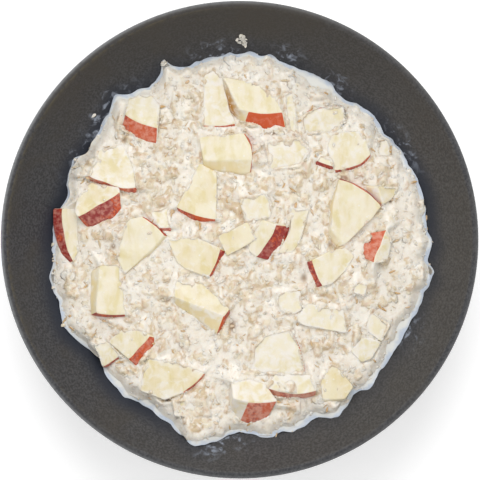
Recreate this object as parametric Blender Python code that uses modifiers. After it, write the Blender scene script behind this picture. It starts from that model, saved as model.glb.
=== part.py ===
"""Bowl of porridge: rolled oats soaked in milk, with cut apple, in a dark stoneware bowl.

Metres, +Z up. The origin is the middle of the foot's underside. The rows of lobes and apple
pieces are in millimetres and degrees, with +X to the right and +Y away from the eater.
"""

import math
import random
from collections import namedtuple

import bmesh
import bpy
from mathutils import Euler, Matrix, Vector, noise

MM = 0.001

# Bowl
RIM_RADIUS = 100 * MM
RIM_WALL = 3.6 * MM
BASE_WALL = 4.8 * MM
RIM_SLOPE = math.radians(57)
FLOOR_HEIGHT = 6.2 * MM
BOWL_DEPTH = 48.5 * MM
FOOT_RADIUS = 41 * MM
FOOT_WIDTH = 4.0 * MM
FOOT_DRAFT = 1.2 * MM
FOOT_RECESS = 2.0 * MM
TURN_STEPS = 60
WALL_POINTS = 9
LIP_POINTS = 4

# Inner wall: an ellipse with its lowest point on the floor and RIM_SLOPE at the rim
LIP_RADIUS = RIM_WALL / 2
INNER_RIM = RIM_RADIUS - LIP_RADIUS * (1 + math.sin(RIM_SLOPE))
RIM_COSINE = BOWL_DEPTH / (INNER_RIM * math.tan(RIM_SLOPE) - BOWL_DEPTH)
WALL_REACH = INNER_RIM / math.sqrt(1 - RIM_COSINE**2)
WALL_RISE = BOWL_DEPTH / (1 - RIM_COSINE)

# Porridge
GAP = 0.3 * MM
EDGE_RADIUS = 80.9 * MM
EDGE_SHIFT = Vector((0.6 * MM, -1.9 * MM))
MILK_BAND = 2.2 * MM
MILK_BAND_WAVE = 0.9 * MM
MILK_WAVES = 5
MILK_REACH_IN = 6.5 * MM
MILK_STEPS = 72
MIDDLE_HEIGHT = FLOOR_HEIGHT + 31.5 * MM
HEAP_LEAN = -0.045
HEAP_CROWN = 2.6 * MM
HEAP_EDGE = 1.7 * MM
EDGE_BLEND = 0.78
HEAP_CELLS = 27
LUMP_HEIGHT = 1.5 * MM
LUMP_SIZE = 9 * MM
CAVITY_STEPS = 40
CAVITY_POINTS = 7

# Rolled oats lying on the heap
FLAKE_COUNT = 430
FLAKE_SIZE = Vector((3.9 * MM, 3.1 * MM, 1.5 * MM))
FLAKE_SPREAD = 0.22
FLAKE_TILT = math.radians(34)
FLAKE_SINK = 0.1 * MM
FLAKE_SEED = 11
GOLDEN_ANGLE = math.pi * (3 - math.sqrt(5))

# Cut apple
APPLE_RADIUS = 34 * MM
SKIN_FACETS = 4
CORE_SIDE_THICKNESS = 0.68
SKIN_FACING = 0.5

Lobe = namedtuple("Lobe", "angle width rise")

# Where the edge of the porridge stands out from its circle, or back
EDGE_LOBES = (
    Lobe(15, 9, 0.8),
    Lobe(34, 9, -2.0),
    Lobe(53, 7, -3.2),
    Lobe(66, 5, -1.2),
    Lobe(87, 9, 1.8),
    Lobe(113, 3, 2.2),
    Lobe(120, 4, -1.4),
    Lobe(131, 3.5, 2.4),
    Lobe(146, 9, -2.8),
    Lobe(165, 5, -2.2),
    Lobe(180, 5, 0.6),
    Lobe(197, 7, 1.8),
    Lobe(207, 6, 2.6),
    Lobe(219, 5, -1.8),
    Lobe(231, 7, 1.3),
    Lobe(247, 3, 1.2),
    Lobe(258, 7, 7.2),
    Lobe(282, 9, 2.3),
    Lobe(299, 4, 3.2),
    Lobe(312, 3, 1.6),
    Lobe(348, 3, 1.8),
    Lobe(358, 3, 1.2),
)

# One cut piece of apple: the middle of its upper face, the way its skin looks, the upper face's
# length and its widths at the core end and the skin end as seen from above, how much of the
# skin end and of the right-hand side (negative: left) shows, its thickness, and how far the
# middle of its upper face stands above the porridge
Piece = namedtuple("Piece", "x y turn length core_width skin_width skin side thick lift")

PIECES = (
    Piece(-41.8, 56.9, 247, 12.7, 11.5, 15.4, 6.4, 0, 8.5, 1.5),
    Piece(-54.1, 32.7, 257, 16.0, 12, 21, 1.8, 0, 4.6, 2.8),
    Piece(-60.4, 15.9, 301, 6.8, 11.5, 20, 8.0, 0, 9.5, 1.2),
    Piece(-72.9, 3.3, 184, 5.5, 18, 24, 4.7, 0, 6.5, 1.5),
    Piece(-43.2, -2.0, 48, 19.6, 11, 12.5, 0.8, 0, 9, 2.0),
    Piece(-55.6, -22.0, 268, 20.6, 8.5, 14.5, 0.9, 0, 9, 2.2),
    Piece(-6.2, 38.5, 4, 20.4, 11, 12.6, 0.6, 3.9, 10, 3.4),
    Piece(-15.7, 18.9, 255, 20.2, 5, 17.8, 1.9, 0, 9, 2.2),
    Piece(8.6, 61.4, 268, 13.0, 14, 13, 6.8, 0, 9.5, 2.4),
    Piece(-10.5, 60.8, 270, 22.5, 7, 13.4, 0.9, 0, 8, 0.8),
    Piece(22.0, 53.9, 273, 18.5, 4.8, 5.2, 0, 0, 8, 1.0),
    Piece(36.4, 51.4, 106, 9.4, 13, 17.5, 1.0, 0, 8, 1.0),
    Piece(46.5, 38.9, 296, 13.7, 12.5, 16, 1.3, 0, 10, 2.0),
    Piece(47.0, 11.0, 60, 21, 10, 20, 0.9, 0, 10, 3.0),
    Piece(63.0, 23.8, 338, 12, 5.5, 6, 0, 3.6, 7, 2.2),
    Piece(61.5, -3.5, 156, 4.5, 9, 14, 7.2, 0, 9, 2.6),
    Piece(40.0, -11.3, 204, 15.5, 6, 12.7, 2.4, 0, 10, 2.2),
    Piece(9.0, 0.2, 330, 6.6, 9.5, 15.5, 5.4, 0, 9, 2.2),
    Piece(25.2, 4.0, 250, 20, 7.2, 7.6, 0, 0, 7, 1.6),
    Piece(-2.6, -0.6, 27, 11.4, 7.2, 7.6, 0, 0, 4.2, 2.6),
    Piece(7.4, 14.6, 283, 9.5, 10.5, 10, 0, 0, 8, 0.9),
    Piece(-18.9, -7.8, 340, 16.5, 12, 13.5, 0.9, 0, 9, 1.4),
    Piece(-17.8, -27.2, 329, 24.5, 10, 10.5, 0.9, 2.6, 9.5, 3.0),
    Piece(-47.4, -44.3, 316, 11.5, 9, 13, 4.6, 0, 9, 2.0),
    Piece(-58.2, -48.0, 306, 8.6, 6, 9.0, 0.9, 0, 6, 1.4),
    Piece(-29.0, -59.6, 335, 21.5, 13, 10.5, 0.9, 0, 8, 2.2),
    Piece(-19.8, -72.8, 3, 14.5, 6.2, 6.2, 0, 0, 4.5, 1.2),
    Piece(6.6, -64.5, 267, 9, 14, 12.6, 8.2, 0, 10, 3.4),
    Piece(23.4, -59.8, 271, 7.6, 14, 17.6, 3.2, 0, 7, 1.6),
    Piece(16.0, -46.6, 15, 18.5, 13, 18.5, 0.9, 0, 9, 1.0),
    Piece(21.2, -26.7, 268, 8.8, 10.5, 9, 0.7, 0, 8, 1.2),
    Piece(35.4, -33.6, 350, 19.5, 7.5, 10.5, 0, 0, 9, 1.4),
    Piece(59.4, -36.6, 329, 9.4, 8.2, 8.6, 0, 0, 7, 1.2),
    Piece(53.8, -47.6, 238, 9.0, 8.2, 8.6, 0, 0, 6.5, 1.6),
    Piece(41.2, -61.8, 300, 12, 9.5, 11.5, 0, 2.4, 6.5, 2.0),
    Piece(51.7, -23.3, 75, 6.5, 7.5, 7.5, 1.4, 0, 7, 1.0),
    Piece(20.6, 36.6, 5, 17.0, 11.5, 11.5, 0, 0, 8, 0.5),
    Piece(61.6, 39.8, 290, 7.2, 6, 6, 0, 0, 5, 0.8),
    Piece(-31.0, 10.4, 268, 7.4, 7.2, 7.2, 1.5, 0, 5, 1.0),
    Piece(35.2, 27.6, 258, 5, 6, 7, 2.4, 0, 6, 0.8),
)


def make_material(name, colour, roughness):
    """A plain non-metal finish; the colour is linear."""
    material = bpy.data.materials.new(name)
    material.use_nodes = True
    shader = material.node_tree.nodes["Principled BSDF"]
    shader.inputs["Base Color"].default_value = (*colour, 1)
    shader.inputs["Roughness"].default_value = roughness
    shader.inputs["Metallic"].default_value = 0
    return material


def add_object(name, mesh, collection, materials=()):
    """Links a mesh as an object and gives it its materials."""
    for material in materials:
        mesh.materials.append(material)
    obj = bpy.data.objects.new(name, mesh)
    collection.objects.link(obj)
    return obj


def mesh_from(bm, name):
    """Turns a bmesh into a mesh with its faces pointing out."""
    bmesh.ops.recalc_face_normals(bm, faces=bm.faces)
    mesh = bpy.data.meshes.new(name)
    bm.to_mesh(mesh)
    bm.free()
    return mesh


def hide_cutter(obj):
    """Keeps a cutter out of the render and draws it as wires."""
    obj.hide_render = True
    obj.display_type = "WIRE"


def add_boolean(obj, operation, other=None, collection=None, solver="EXACT"):
    """Adds a Boolean with one object or with a whole collection."""
    modifier = obj.modifiers.new(operation.title(), "BOOLEAN")
    modifier.operation = operation
    modifier.solver = solver
    if collection:
        modifier.operand_type = "COLLECTION"
        modifier.collection = collection
    else:
        modifier.object = other


def apply_modifiers(obj):
    """Replaces an object's mesh by its evaluated mesh, without loose scraps."""
    bpy.context.view_layer.update()
    graph = bpy.context.evaluated_depsgraph_get()
    mesh = bpy.data.meshes.new_from_object(obj.evaluated_get(graph))
    obj.modifiers.clear()
    obj.data = mesh
    keep_largest_shell(mesh)


def keep_largest_shell(mesh):
    """Deletes every connected part of a mesh but the one with the most vertices."""
    bm = bmesh.new()
    bm.from_mesh(mesh)
    unseen = set(bm.verts)
    shells = []
    while unseen:
        front = [unseen.pop()]
        shell = set(front)
        while front:
            vertex = front.pop()
            for edge in vertex.link_edges:
                other = edge.other_vert(vertex)
                if other in unseen:
                    unseen.remove(other)
                    shell.add(other)
                    front.append(other)
        shells.append(shell)
    largest = max(shells, key=len)
    scraps = [vertex for shell in shells if shell is not largest for vertex in shell]
    bmesh.ops.delete(bm, geom=scraps, context="VERTS")
    bm.to_mesh(mesh)
    bm.free()


def empty_collection(collection):
    """Removes the objects of a collection and the collection."""
    for obj in list(collection.objects):
        bpy.data.objects.remove(obj)
    bpy.data.collections.remove(collection)


def turned_object(name, profile, steps, collection, materials=()):
    """Turns a profile of (radius, height) about Z, from the axis back to the axis."""
    mesh = bpy.data.meshes.new(name)
    points = [(radius, 0, height) for radius, height in profile]
    edges = [(i, i + 1) for i in range(len(points) - 1)]
    mesh.from_pydata(points, edges, [])
    obj = add_object(name, mesh, collection, materials)
    screw = obj.modifiers.new("Turn", "SCREW")
    screw.steps = steps
    screw.render_steps = steps
    screw.use_merge_vertices = True
    screw.merge_threshold = 0.01 * MM
    screw.use_smooth_shade = True
    return obj


def wall_height(radius):
    """Height of the inner wall where it has this radius."""
    return FLOOR_HEIGHT + WALL_RISE * (1 - math.sqrt(1 - (radius / WALL_REACH) ** 2))


def wall_point(share, inset=0.0):
    """Point of the inner wall from the floor, 0, to the rim, 1, moved inset along its normal.

    A positive inset is into the bowl's hollow, a negative one into its wall.
    """
    angle = share * math.acos(RIM_COSINE)
    normal = Vector((-math.sin(angle) / WALL_REACH, math.cos(angle) / WALL_RISE)).normalized()
    point = Vector((WALL_REACH * math.sin(angle), WALL_RISE * (1 - math.cos(angle))))
    return point + Vector((0, FLOOR_HEIGHT)) + inset * normal


def lip_points():
    """Half circle over the rim, from the inner wall to the outer wall."""
    inner = wall_point(1)
    outer = wall_point(1, -RIM_WALL)
    middle = (inner + outer) / 2
    across = inner - middle
    up = Vector((across.y, -across.x))
    angles = [math.pi * i / (LIP_POINTS + 1) for i in range(1, LIP_POINTS + 1)]
    return [middle + math.cos(a) * across + math.sin(a) * up for a in angles]


def bowl_profile():
    """Inner wall up to the rim, the lip, the outer wall down to the foot, and the underside."""
    shares = [i / WALL_POINTS for i in range(WALL_POINTS + 1)]
    inner = [wall_point(share) for share in shares]
    inner[0].x = 0
    outer = [wall_point(s, -BASE_WALL - (RIM_WALL - BASE_WALL) * s) for s in reversed(shares)]
    outer = [point for point in outer if point.x > FOOT_RADIUS + FOOT_WIDTH / 2]
    foot = [
        (FOOT_RADIUS, outer[-1].y - FOOT_WIDTH / 2),
        (FOOT_RADIUS - FOOT_DRAFT, 0),
        (FOOT_RADIUS - FOOT_WIDTH, 0),
        (FOOT_RADIUS - FOOT_WIDTH - FOOT_DRAFT, FOOT_RECESS),
        (0, FOOT_RECESS),
    ]
    return inner + lip_points() + outer + foot


def add_bowl(collection):
    """Stoneware bowl: a turned shell on a foot ring."""
    stoneware = make_material("Dark stoneware", (0.062, 0.059, 0.056), 0.55)
    return turned_object("bowl", bowl_profile(), TURN_STEPS, collection, [stoneware])


def cavity_profile():
    """Inside of the bowl, GAP clear of its wall, closed off level above the rim."""
    wall = [wall_point(i / CAVITY_POINTS, GAP) for i in range(CAVITY_POINTS + 1)]
    wall[0].x = 0
    top = wall[-1] + Vector((0, BOWL_DEPTH))
    return [(0, top.y), top] + wall[::-1]


def add_cavity(name, cutters):
    """Cutter that fits the food to the bowl."""
    cavity = turned_object(name, cavity_profile(), CAVITY_STEPS, cutters)
    hide_cutter(cavity)
    return cavity


def edge_radius(angle):
    """Distance from the axis to the edge of the porridge, at an angle about the axis."""
    radius = EDGE_RADIUS + EDGE_SHIFT.x * math.cos(angle) + EDGE_SHIFT.y * math.sin(angle)
    for lobe in EDGE_LOBES:
        off = math.remainder(math.degrees(angle) - lobe.angle, 360) / lobe.width
        radius += lobe.rise * MM * math.exp(-off * off)
    return radius


def milk_level(angle):
    """Height at which the milk meets the wall, at an angle about the axis."""
    return wall_height(edge_radius(angle))


def oats_radius(angle):
    """Distance from the axis to the edge of the oats, inside a wavy band of bare milk."""
    band = MILK_BAND + MILK_BAND_WAVE * math.sin(MILK_WAVES * angle)
    return edge_radius(angle) - band


def surface_height(x, y):
    """Height of the porridge without its lumps: a low leaning dome that bends to the wall."""
    angle = math.atan2(y, x)
    share = min(1, math.hypot(x, y) / oats_radius(angle))
    dome = MIDDLE_HEIGHT + HEAP_LEAN * y + HEAP_CROWN * (1 - share * share)
    blend = max(0, (share - EDGE_BLEND) / (1 - EDGE_BLEND))
    blend = blend * blend * (3 - 2 * blend)
    return dome + (milk_level(angle) + HEAP_EDGE - dome) * blend


def lump(x, y):
    """Height that the lumps of oats add, fading out at the edge."""
    share = min(1, math.hypot(x, y) / oats_radius(math.atan2(y, x)))
    return LUMP_HEIGHT * noise.noise(Vector((x, y, 0)) / LUMP_SIZE) * (1 - share**4)


def square_to_disc(a, b):
    """Maps the square from -1 to 1 onto the unit disc, keeping its cells nearly even."""
    return a * math.sqrt(1 - b * b / 2), b * math.sqrt(1 - a * a / 2)


def extrude_down(bm, depth):
    """Turns an open sheet into a solid by extruding all of it straight down."""
    made = bmesh.ops.extrude_face_region(bm, geom=bm.faces[:], use_keep_orig=True)
    lower = [item for item in made["geom"] if isinstance(item, bmesh.types.BMVert)]
    bmesh.ops.translate(bm, vec=(0, 0, -depth), verts=lower)


def add_heap(collection, materials):
    """The oats' uneven top, extruded down past the bowl's floor."""
    bm = bmesh.new()
    bmesh.ops.create_grid(bm, x_segments=HEAP_CELLS, y_segments=HEAP_CELLS, size=1)
    for vertex in bm.verts:
        a, b = square_to_disc(vertex.co.x, vertex.co.y)
        reach = oats_radius(math.atan2(b, a))
        x, y = a * reach, b * reach
        vertex.co = (x, y, surface_height(x, y) + lump(x, y))
    extrude_down(bm, MIDDLE_HEIGHT + HEAP_CROWN)
    return add_object("oats", mesh_from(bm, "oats"), collection, materials)


def ring_mesh(name, inner_offset, top_offset):
    """Ring from inner_offset inside the porridge's edge to past the rim, below the milk's level."""
    bm = bmesh.new()
    rings = []
    for i in range(MILK_STEPS):
        angle = math.tau * i / MILK_STEPS
        heading = Vector((math.cos(angle), math.sin(angle), 0))
        top = Vector((0, 0, milk_level(angle) + top_offset))
        reaches = (edge_radius(angle) - inner_offset, RIM_RADIUS)
        rings.append([bm.verts.new(reach * heading + top) for reach in reaches])
    for i, (inner, outer) in enumerate(rings):
        next_inner, next_outer = rings[(i + 1) % MILK_STEPS]
        bm.faces.new((inner, outer, next_outer, next_inner))
    extrude_down(bm, MIDDLE_HEIGHT + HEAP_CROWN)
    return mesh_from(bm, name)


def add_milk_space(cutters):
    """Cutter for the space that the milk takes under the edge of the oats."""
    space = ring_mesh("milk_space", MILK_REACH_IN + GAP, GAP)
    space = add_object("milk_space", space, cutters)
    hide_cutter(space)
    return space


def add_milk(collection, cavity, pits):
    """Milk that stands between the oats' edge and the wall, fitted to the apple at the edge."""
    milk_white = make_material("Milk", (0.80, 0.81, 0.80), 0.25)
    milk = add_object("milk", ring_mesh("milk", MILK_REACH_IN, 0), collection, [milk_white])
    add_boolean(milk, "INTERSECT", cavity)
    add_boolean(milk, "DIFFERENCE", collection=pits, solver="MANIFOLD")
    apply_modifiers(milk)
    return milk


def piece_tilts(piece):
    """Lean that shows a piece's skin end and roll that shows one of its sides.

    The two faces slant outwards by the same angles, so half of what shows comes from that.
    """
    return math.asin(piece.skin / piece.thick / 2), math.asin(piece.side / piece.thick / 2)


def skin_bulge(half_width):
    """How far the middle of a skin end stands out beyond its corners."""
    return half_width**2 / (2 * APPLE_RADIUS)


def piece_mesh(name, piece, grow):
    """An apple piece with its upper face's middle at the origin and its skin towards +X.

    The upper face is a trapezium whose skin end bulges as the apple did. grow widens the
    piece on every side.
    """
    tilt, roll = piece_tilts(piece)
    half_length = piece.length * MM / math.cos(tilt) / 2
    core_half = piece.core_width * MM / math.cos(roll) / 2
    skin_half = piece.skin_width * MM / math.cos(roll) / 2
    flare = grow * (1 + abs(skin_half - core_half) / half_length)
    bm = bmesh.new()
    bmesh.ops.create_grid(bm, x_segments=1, y_segments=SKIN_FACETS, size=1)
    for vertex in bm.verts:
        end, across = vertex.co.x, vertex.co.y
        half_width = (skin_half if end > 0 else core_half) + flare
        bulge = (1 - across * across) * skin_bulge(skin_half) if end > 0 else 0
        vertex.co = (end * (half_length + grow) + bulge, across * half_width, grow)
    depth = piece.thick * MM + 2 * grow
    extrude_down(bm, depth)
    for vertex in bm.verts:
        if vertex.co.z < 0:
            vertex.co.y -= depth * math.tan(roll) if vertex.co.y * roll < 0 else 0
            vertex.co.x += depth * math.tan(tilt) if vertex.co.x > 0 else 0
            vertex.co.z *= 1 if vertex.co.x > 0 else CORE_SIDE_THICKNESS
    bmesh.ops.triangulate(bm, faces=bm.faces[:], quad_method="FIXED")
    mesh = mesh_from(bm, name)
    for face in mesh.polygons:
        if face.normal.x > SKIN_FACING and face.center.x > half_length:
            face.material_index = 1
    return mesh


def piece_rotation(piece):
    """Turn about Z, then the lean that shows the skin end and the roll that shows a side."""
    tilt, roll = piece_tilts(piece)
    turn = Matrix.Rotation(math.radians(piece.turn), 4, "Z")
    lean = Matrix.Rotation(-tilt, 4, "Y")
    return turn @ lean @ Matrix.Rotation(-roll, 4, "X")


def piece_place(piece, mesh):
    """Places a piece in the porridge, lifted where needed so that it rests on the wall."""
    x, y = piece.x * MM, piece.y * MM
    place = Matrix.Translation((x, y, surface_height(x, y) + piece.lift * MM))
    place = place @ piece_rotation(piece)
    short = 0
    for vertex in mesh.vertices:
        corner = place @ vertex.co
        radius = min(math.hypot(corner.x, corner.y) + 2 * GAP, INNER_RIM)
        short = max(short, wall_height(radius) + GAP - corner.z)
    return Matrix.Translation((0, 0, short)) @ place


def add_pieces(collection, parent, pits):
    """Every apple piece as its own object, and a slightly larger cutter for its pit."""
    flesh = make_material("Apple flesh", (0.86, 0.77, 0.52), 0.4)
    skin = make_material("Apple skin", (0.42, 0.07, 0.045), 0.35)
    for number, piece in enumerate(PIECES, start=1):
        name = f"apple_{number:02d}"
        mesh = piece_mesh(name, piece, 0)
        place = piece_place(piece, mesh)
        obj = add_object(name, mesh, collection, [flesh, skin])
        obj.matrix_world = place
        obj.parent = parent
        pit = add_object(f"pit_{number:02d}", piece_mesh(name, piece, GAP), pits)
        pit.matrix_world = place
        hide_cutter(pit)


def clear_of_pieces(x, y, margin):
    """Whether a point, in millimetres, is at least a margin away from every piece, from above."""
    for piece in PIECES:
        turn = math.radians(piece.turn)
        along = (x - piece.x) * math.cos(turn) + (y - piece.y) * math.sin(turn)
        across = (y - piece.y) * math.cos(turn) - (x - piece.x) * math.sin(turn)
        bulge = skin_bulge(piece.skin_width * MM / 2) / MM
        near_side = piece.length / 2 + bulge + piece.skin + margin
        far_side = piece.length / 2 + margin
        share = min(1, max(0, along / piece.length + 0.5))
        width = piece.core_width + (piece.skin_width - piece.core_width) * share
        if -far_side < along < near_side and abs(across) < width / 2 + abs(piece.side) + margin:
            return False
    return True


def add_flakes(flakes):
    """Rolled oats strewn evenly over the heap, where no apple lies."""
    draw = random.Random(FLAKE_SEED)
    for i in range(FLAKE_COUNT):
        angle = i * GOLDEN_ANGLE
        share = math.sqrt((i + 0.5) / FLAKE_COUNT)
        size = FLAKE_SIZE * draw.uniform(1 - FLAKE_SPREAD, 1 + FLAKE_SPREAD)
        reach = (oats_radius(angle) - size.x) * share
        x, y = reach * math.cos(angle), reach * math.sin(angle)
        tilt = FLAKE_TILT * (1 - share**3)
        lean = [draw.uniform(-tilt, tilt) for _ in "XY"]
        turn = draw.uniform(0, math.pi)
        if not clear_of_pieces(x / MM, y / MM, (size.x + GAP) / MM):
            continue
        bm = bmesh.new()
        bmesh.ops.create_icosphere(bm, subdivisions=1, radius=1)
        bmesh.ops.scale(bm, vec=size, verts=bm.verts)
        flake = add_object(f"flake_{i:03d}", mesh_from(bm, "flake"), flakes)
        flake.location = (x, y, surface_height(x, y) + lump(x, y) - FLAKE_SINK)
        flake.rotation_euler = Euler((*lean, turn), "ZYX")
        hide_cutter(flake)


def add_oats(collection, cavity, milk_space, pits, flakes):
    """The heap of oats, fitted to the bowl, the milk and the apple, with flakes fused on."""
    soaked = make_material("Soaked oats", (0.78, 0.70, 0.58), 0.55)
    oats = add_heap(collection, [soaked])
    add_boolean(oats, "INTERSECT", cavity)
    add_boolean(oats, "DIFFERENCE", milk_space)
    add_boolean(oats, "DIFFERENCE", collection=pits, solver="MANIFOLD")
    apply_modifiers(oats)
    add_flakes(flakes)
    add_boolean(oats, "UNION", collection=flakes, solver="MANIFOLD")
    apply_modifiers(oats)
    return oats


def main():
    """Clears the scene and builds the bowl and what is in it."""
    for obj in list(bpy.data.objects):
        bpy.data.objects.remove(obj)
    porridge = bpy.data.collections.new("Bowl of porridge")
    cutters = bpy.data.collections.new("Cutters")
    pits = bpy.data.collections.new("Apple pits")
    flakes = bpy.data.collections.new("Flakes")
    for collection in (porridge, cutters, pits, flakes):
        bpy.context.scene.collection.children.link(collection)
    serving = bpy.data.objects.new("serving", None)
    porridge.objects.link(serving)

    add_bowl(porridge).parent = serving
    add_pieces(porridge, serving, pits)
    cavity = add_cavity("cavity", cutters)
    add_milk(porridge, cavity, pits).parent = serving
    add_oats(porridge, cavity, add_milk_space(cutters), pits, flakes).parent = serving
    empty_collection(flakes)
    empty_collection(pits)


main()
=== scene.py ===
"""Bowl of porridge: soaked rolled oats and cut apple in milk, in a dark stoneware bowl.

Metres, +Z up, with the origin in the middle of the foot's underside, +X to the right and +Y away
from the eater. The rows of lobes and chunks are in millimetres and degrees.
"""
import itertools
import logging
import math
from dataclasses import dataclass, field
from enum import Enum, IntEnum
from typing import NamedTuple

import bpy
import numpy as np
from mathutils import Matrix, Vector


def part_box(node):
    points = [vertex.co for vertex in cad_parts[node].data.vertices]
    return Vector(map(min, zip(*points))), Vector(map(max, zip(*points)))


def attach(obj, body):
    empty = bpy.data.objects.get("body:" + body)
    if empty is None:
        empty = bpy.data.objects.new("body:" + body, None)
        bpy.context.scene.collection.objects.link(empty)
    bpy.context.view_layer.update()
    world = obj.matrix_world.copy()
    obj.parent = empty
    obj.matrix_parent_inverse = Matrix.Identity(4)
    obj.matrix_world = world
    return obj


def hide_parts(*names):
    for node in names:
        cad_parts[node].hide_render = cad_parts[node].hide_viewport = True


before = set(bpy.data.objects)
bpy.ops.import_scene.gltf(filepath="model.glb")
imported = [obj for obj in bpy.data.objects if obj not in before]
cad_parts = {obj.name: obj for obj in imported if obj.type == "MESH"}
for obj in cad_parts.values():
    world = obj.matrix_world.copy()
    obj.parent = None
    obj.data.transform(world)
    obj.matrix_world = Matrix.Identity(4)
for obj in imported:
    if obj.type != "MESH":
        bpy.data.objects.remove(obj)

Array = np.ndarray
LOG = logging.getLogger("porridge")
MM = 0.001
BODY = "root"
GAP = 0.3 * MM
# The golden angle, in half turns
GOLDEN_ANGLE = 3 - math.sqrt(5)
Rgb = tuple[int, int, int]
Socket = bpy.types.NodeSocket


class Slot(Enum):
    """Material slots of the record."""

    STONEWARE = "stoneware"
    OATS = "soaked_oats"
    MILK = "milk"
    APPLE = "apple"


class Sum(Enum):
    """What a maths node does with its two numbers."""

    ADD = "ADD"
    MULTIPLY = "MULTIPLY"


class Seed(IntEnum):
    """Seeds of the noises; BANK, PATCH and RAGGED have a chunk's number added."""

    CRUMB = 3
    CLOT = 8
    RIPPLE = 21
    SHORE = 31
    BAND = 37
    RAGGED = 40
    WARP_X = 71
    WARP_Y = 73
    PATCH = 90
    BANK = 140


# Working with arrays


def smooth(low: float, high: float, value: Array) -> Array:
    """Rises from 0 at low to 1 at high as 3t^2 - 2t^3.

    Args:
        low: value where the rise starts.
        high: value where it ends; below low, the step falls instead.
        value: numbers to map.

    Returns:
        The step's height for each number.
    """
    share = np.clip((value - low) / (high - low), 0, 1)
    return share * share * (3 - 2 * share)


def hashed(cells: Array, seed: int) -> Array:
    """Even pseudo-random number from 0 to 1 for each cell, by multiplying and folding its bits.

    Args:
        cells: whole-number coordinates, one cell per row.
        seed: picks another set of numbers.

    Returns:
        One number per cell.
    """
    mixed = np.full(cells.shape[:-1], seed * 2654435761 % 2**32, np.uint32)
    for axis, prime in zip(range(cells.shape[-1]), (668265263, 2246822519, 3266489917)):
        mixed = (mixed ^ (cells[..., axis] & 0xFFFFFFFF).astype(np.uint32)) * np.uint32(prime)
        mixed = mixed ^ (mixed >> np.uint32(15))
    return (mixed & np.uint32(0xFFFFFF)) / 0x1000000


def noise(points: Array, size: float, seed: int) -> Array:
    """Value noise from -1 to 1: the corners' hashed numbers blended by 3t^2 - 2t^3 on each axis.

    Args:
        points: coordinates in two or three columns.
        size: width of a cell.
        seed: picks another pattern.

    Returns:
        One number per point.
    """
    cell = np.floor(points / size).astype(np.int64)
    part = points / size - cell
    part = part * part * (3 - 2 * part)
    total = np.zeros(points.shape[:-1])
    for corner in itertools.product((0, 1), repeat=points.shape[-1]):
        weight = np.prod(np.where(corner, part, 1 - part), axis=-1)
        total += weight * hashed(cell + np.array(corner), seed)
    return 2 * total - 1


def fractal(points: Array, size: float, seed: int, layers: int = 3) -> Array:
    """Sum of noise layers, each half as wide and half as strong as the one before.

    Args:
        points: coordinates in two or three columns.
        size: width of the first layer's cells.
        seed: picks another pattern.
        layers: how many layers are added.

    Returns:
        One number per point, about -1 to 1.
    """
    total = sum(noise(points, size / 2**i, seed + i) / 2**i for i in range(layers))
    return total / (2 - 0.5 ** (layers - 1))


def turned(tilt: Array, roll: Array, turn: Array) -> Array:
    """Matrices that roll about X, then lean +X upwards, then turn about Z.

    Args:
        tilt: lean of the +X end upwards, in radians.
        roll: how far the -Y side goes up, in radians.
        turn: heading of +X, in radians.

    Returns:
        One 3 by 3 matrix per entry, the product turn times lean times roll.
    """
    tilt, roll, turn = (np.atleast_1d(value).astype(float) for value in (tilt, roll, turn))
    zero, one = np.zeros_like(turn), np.ones_like(turn)
    about_z = np.array([[np.cos(turn), -np.sin(turn), zero],
                        [np.sin(turn), np.cos(turn), zero],
                        [zero, zero, one]])
    about_y = np.array([[np.cos(tilt), zero, -np.sin(tilt)],
                        [zero, one, zero],
                        [np.sin(tilt), zero, np.cos(tilt)]])
    about_x = np.array([[one, zero, zero],
                        [zero, np.cos(roll), np.sin(roll)],
                        [zero, -np.sin(roll), np.cos(roll)]])
    return np.einsum("ijn,jkn,kln->nil", about_z, about_y, about_x)


# Meshes


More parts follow.
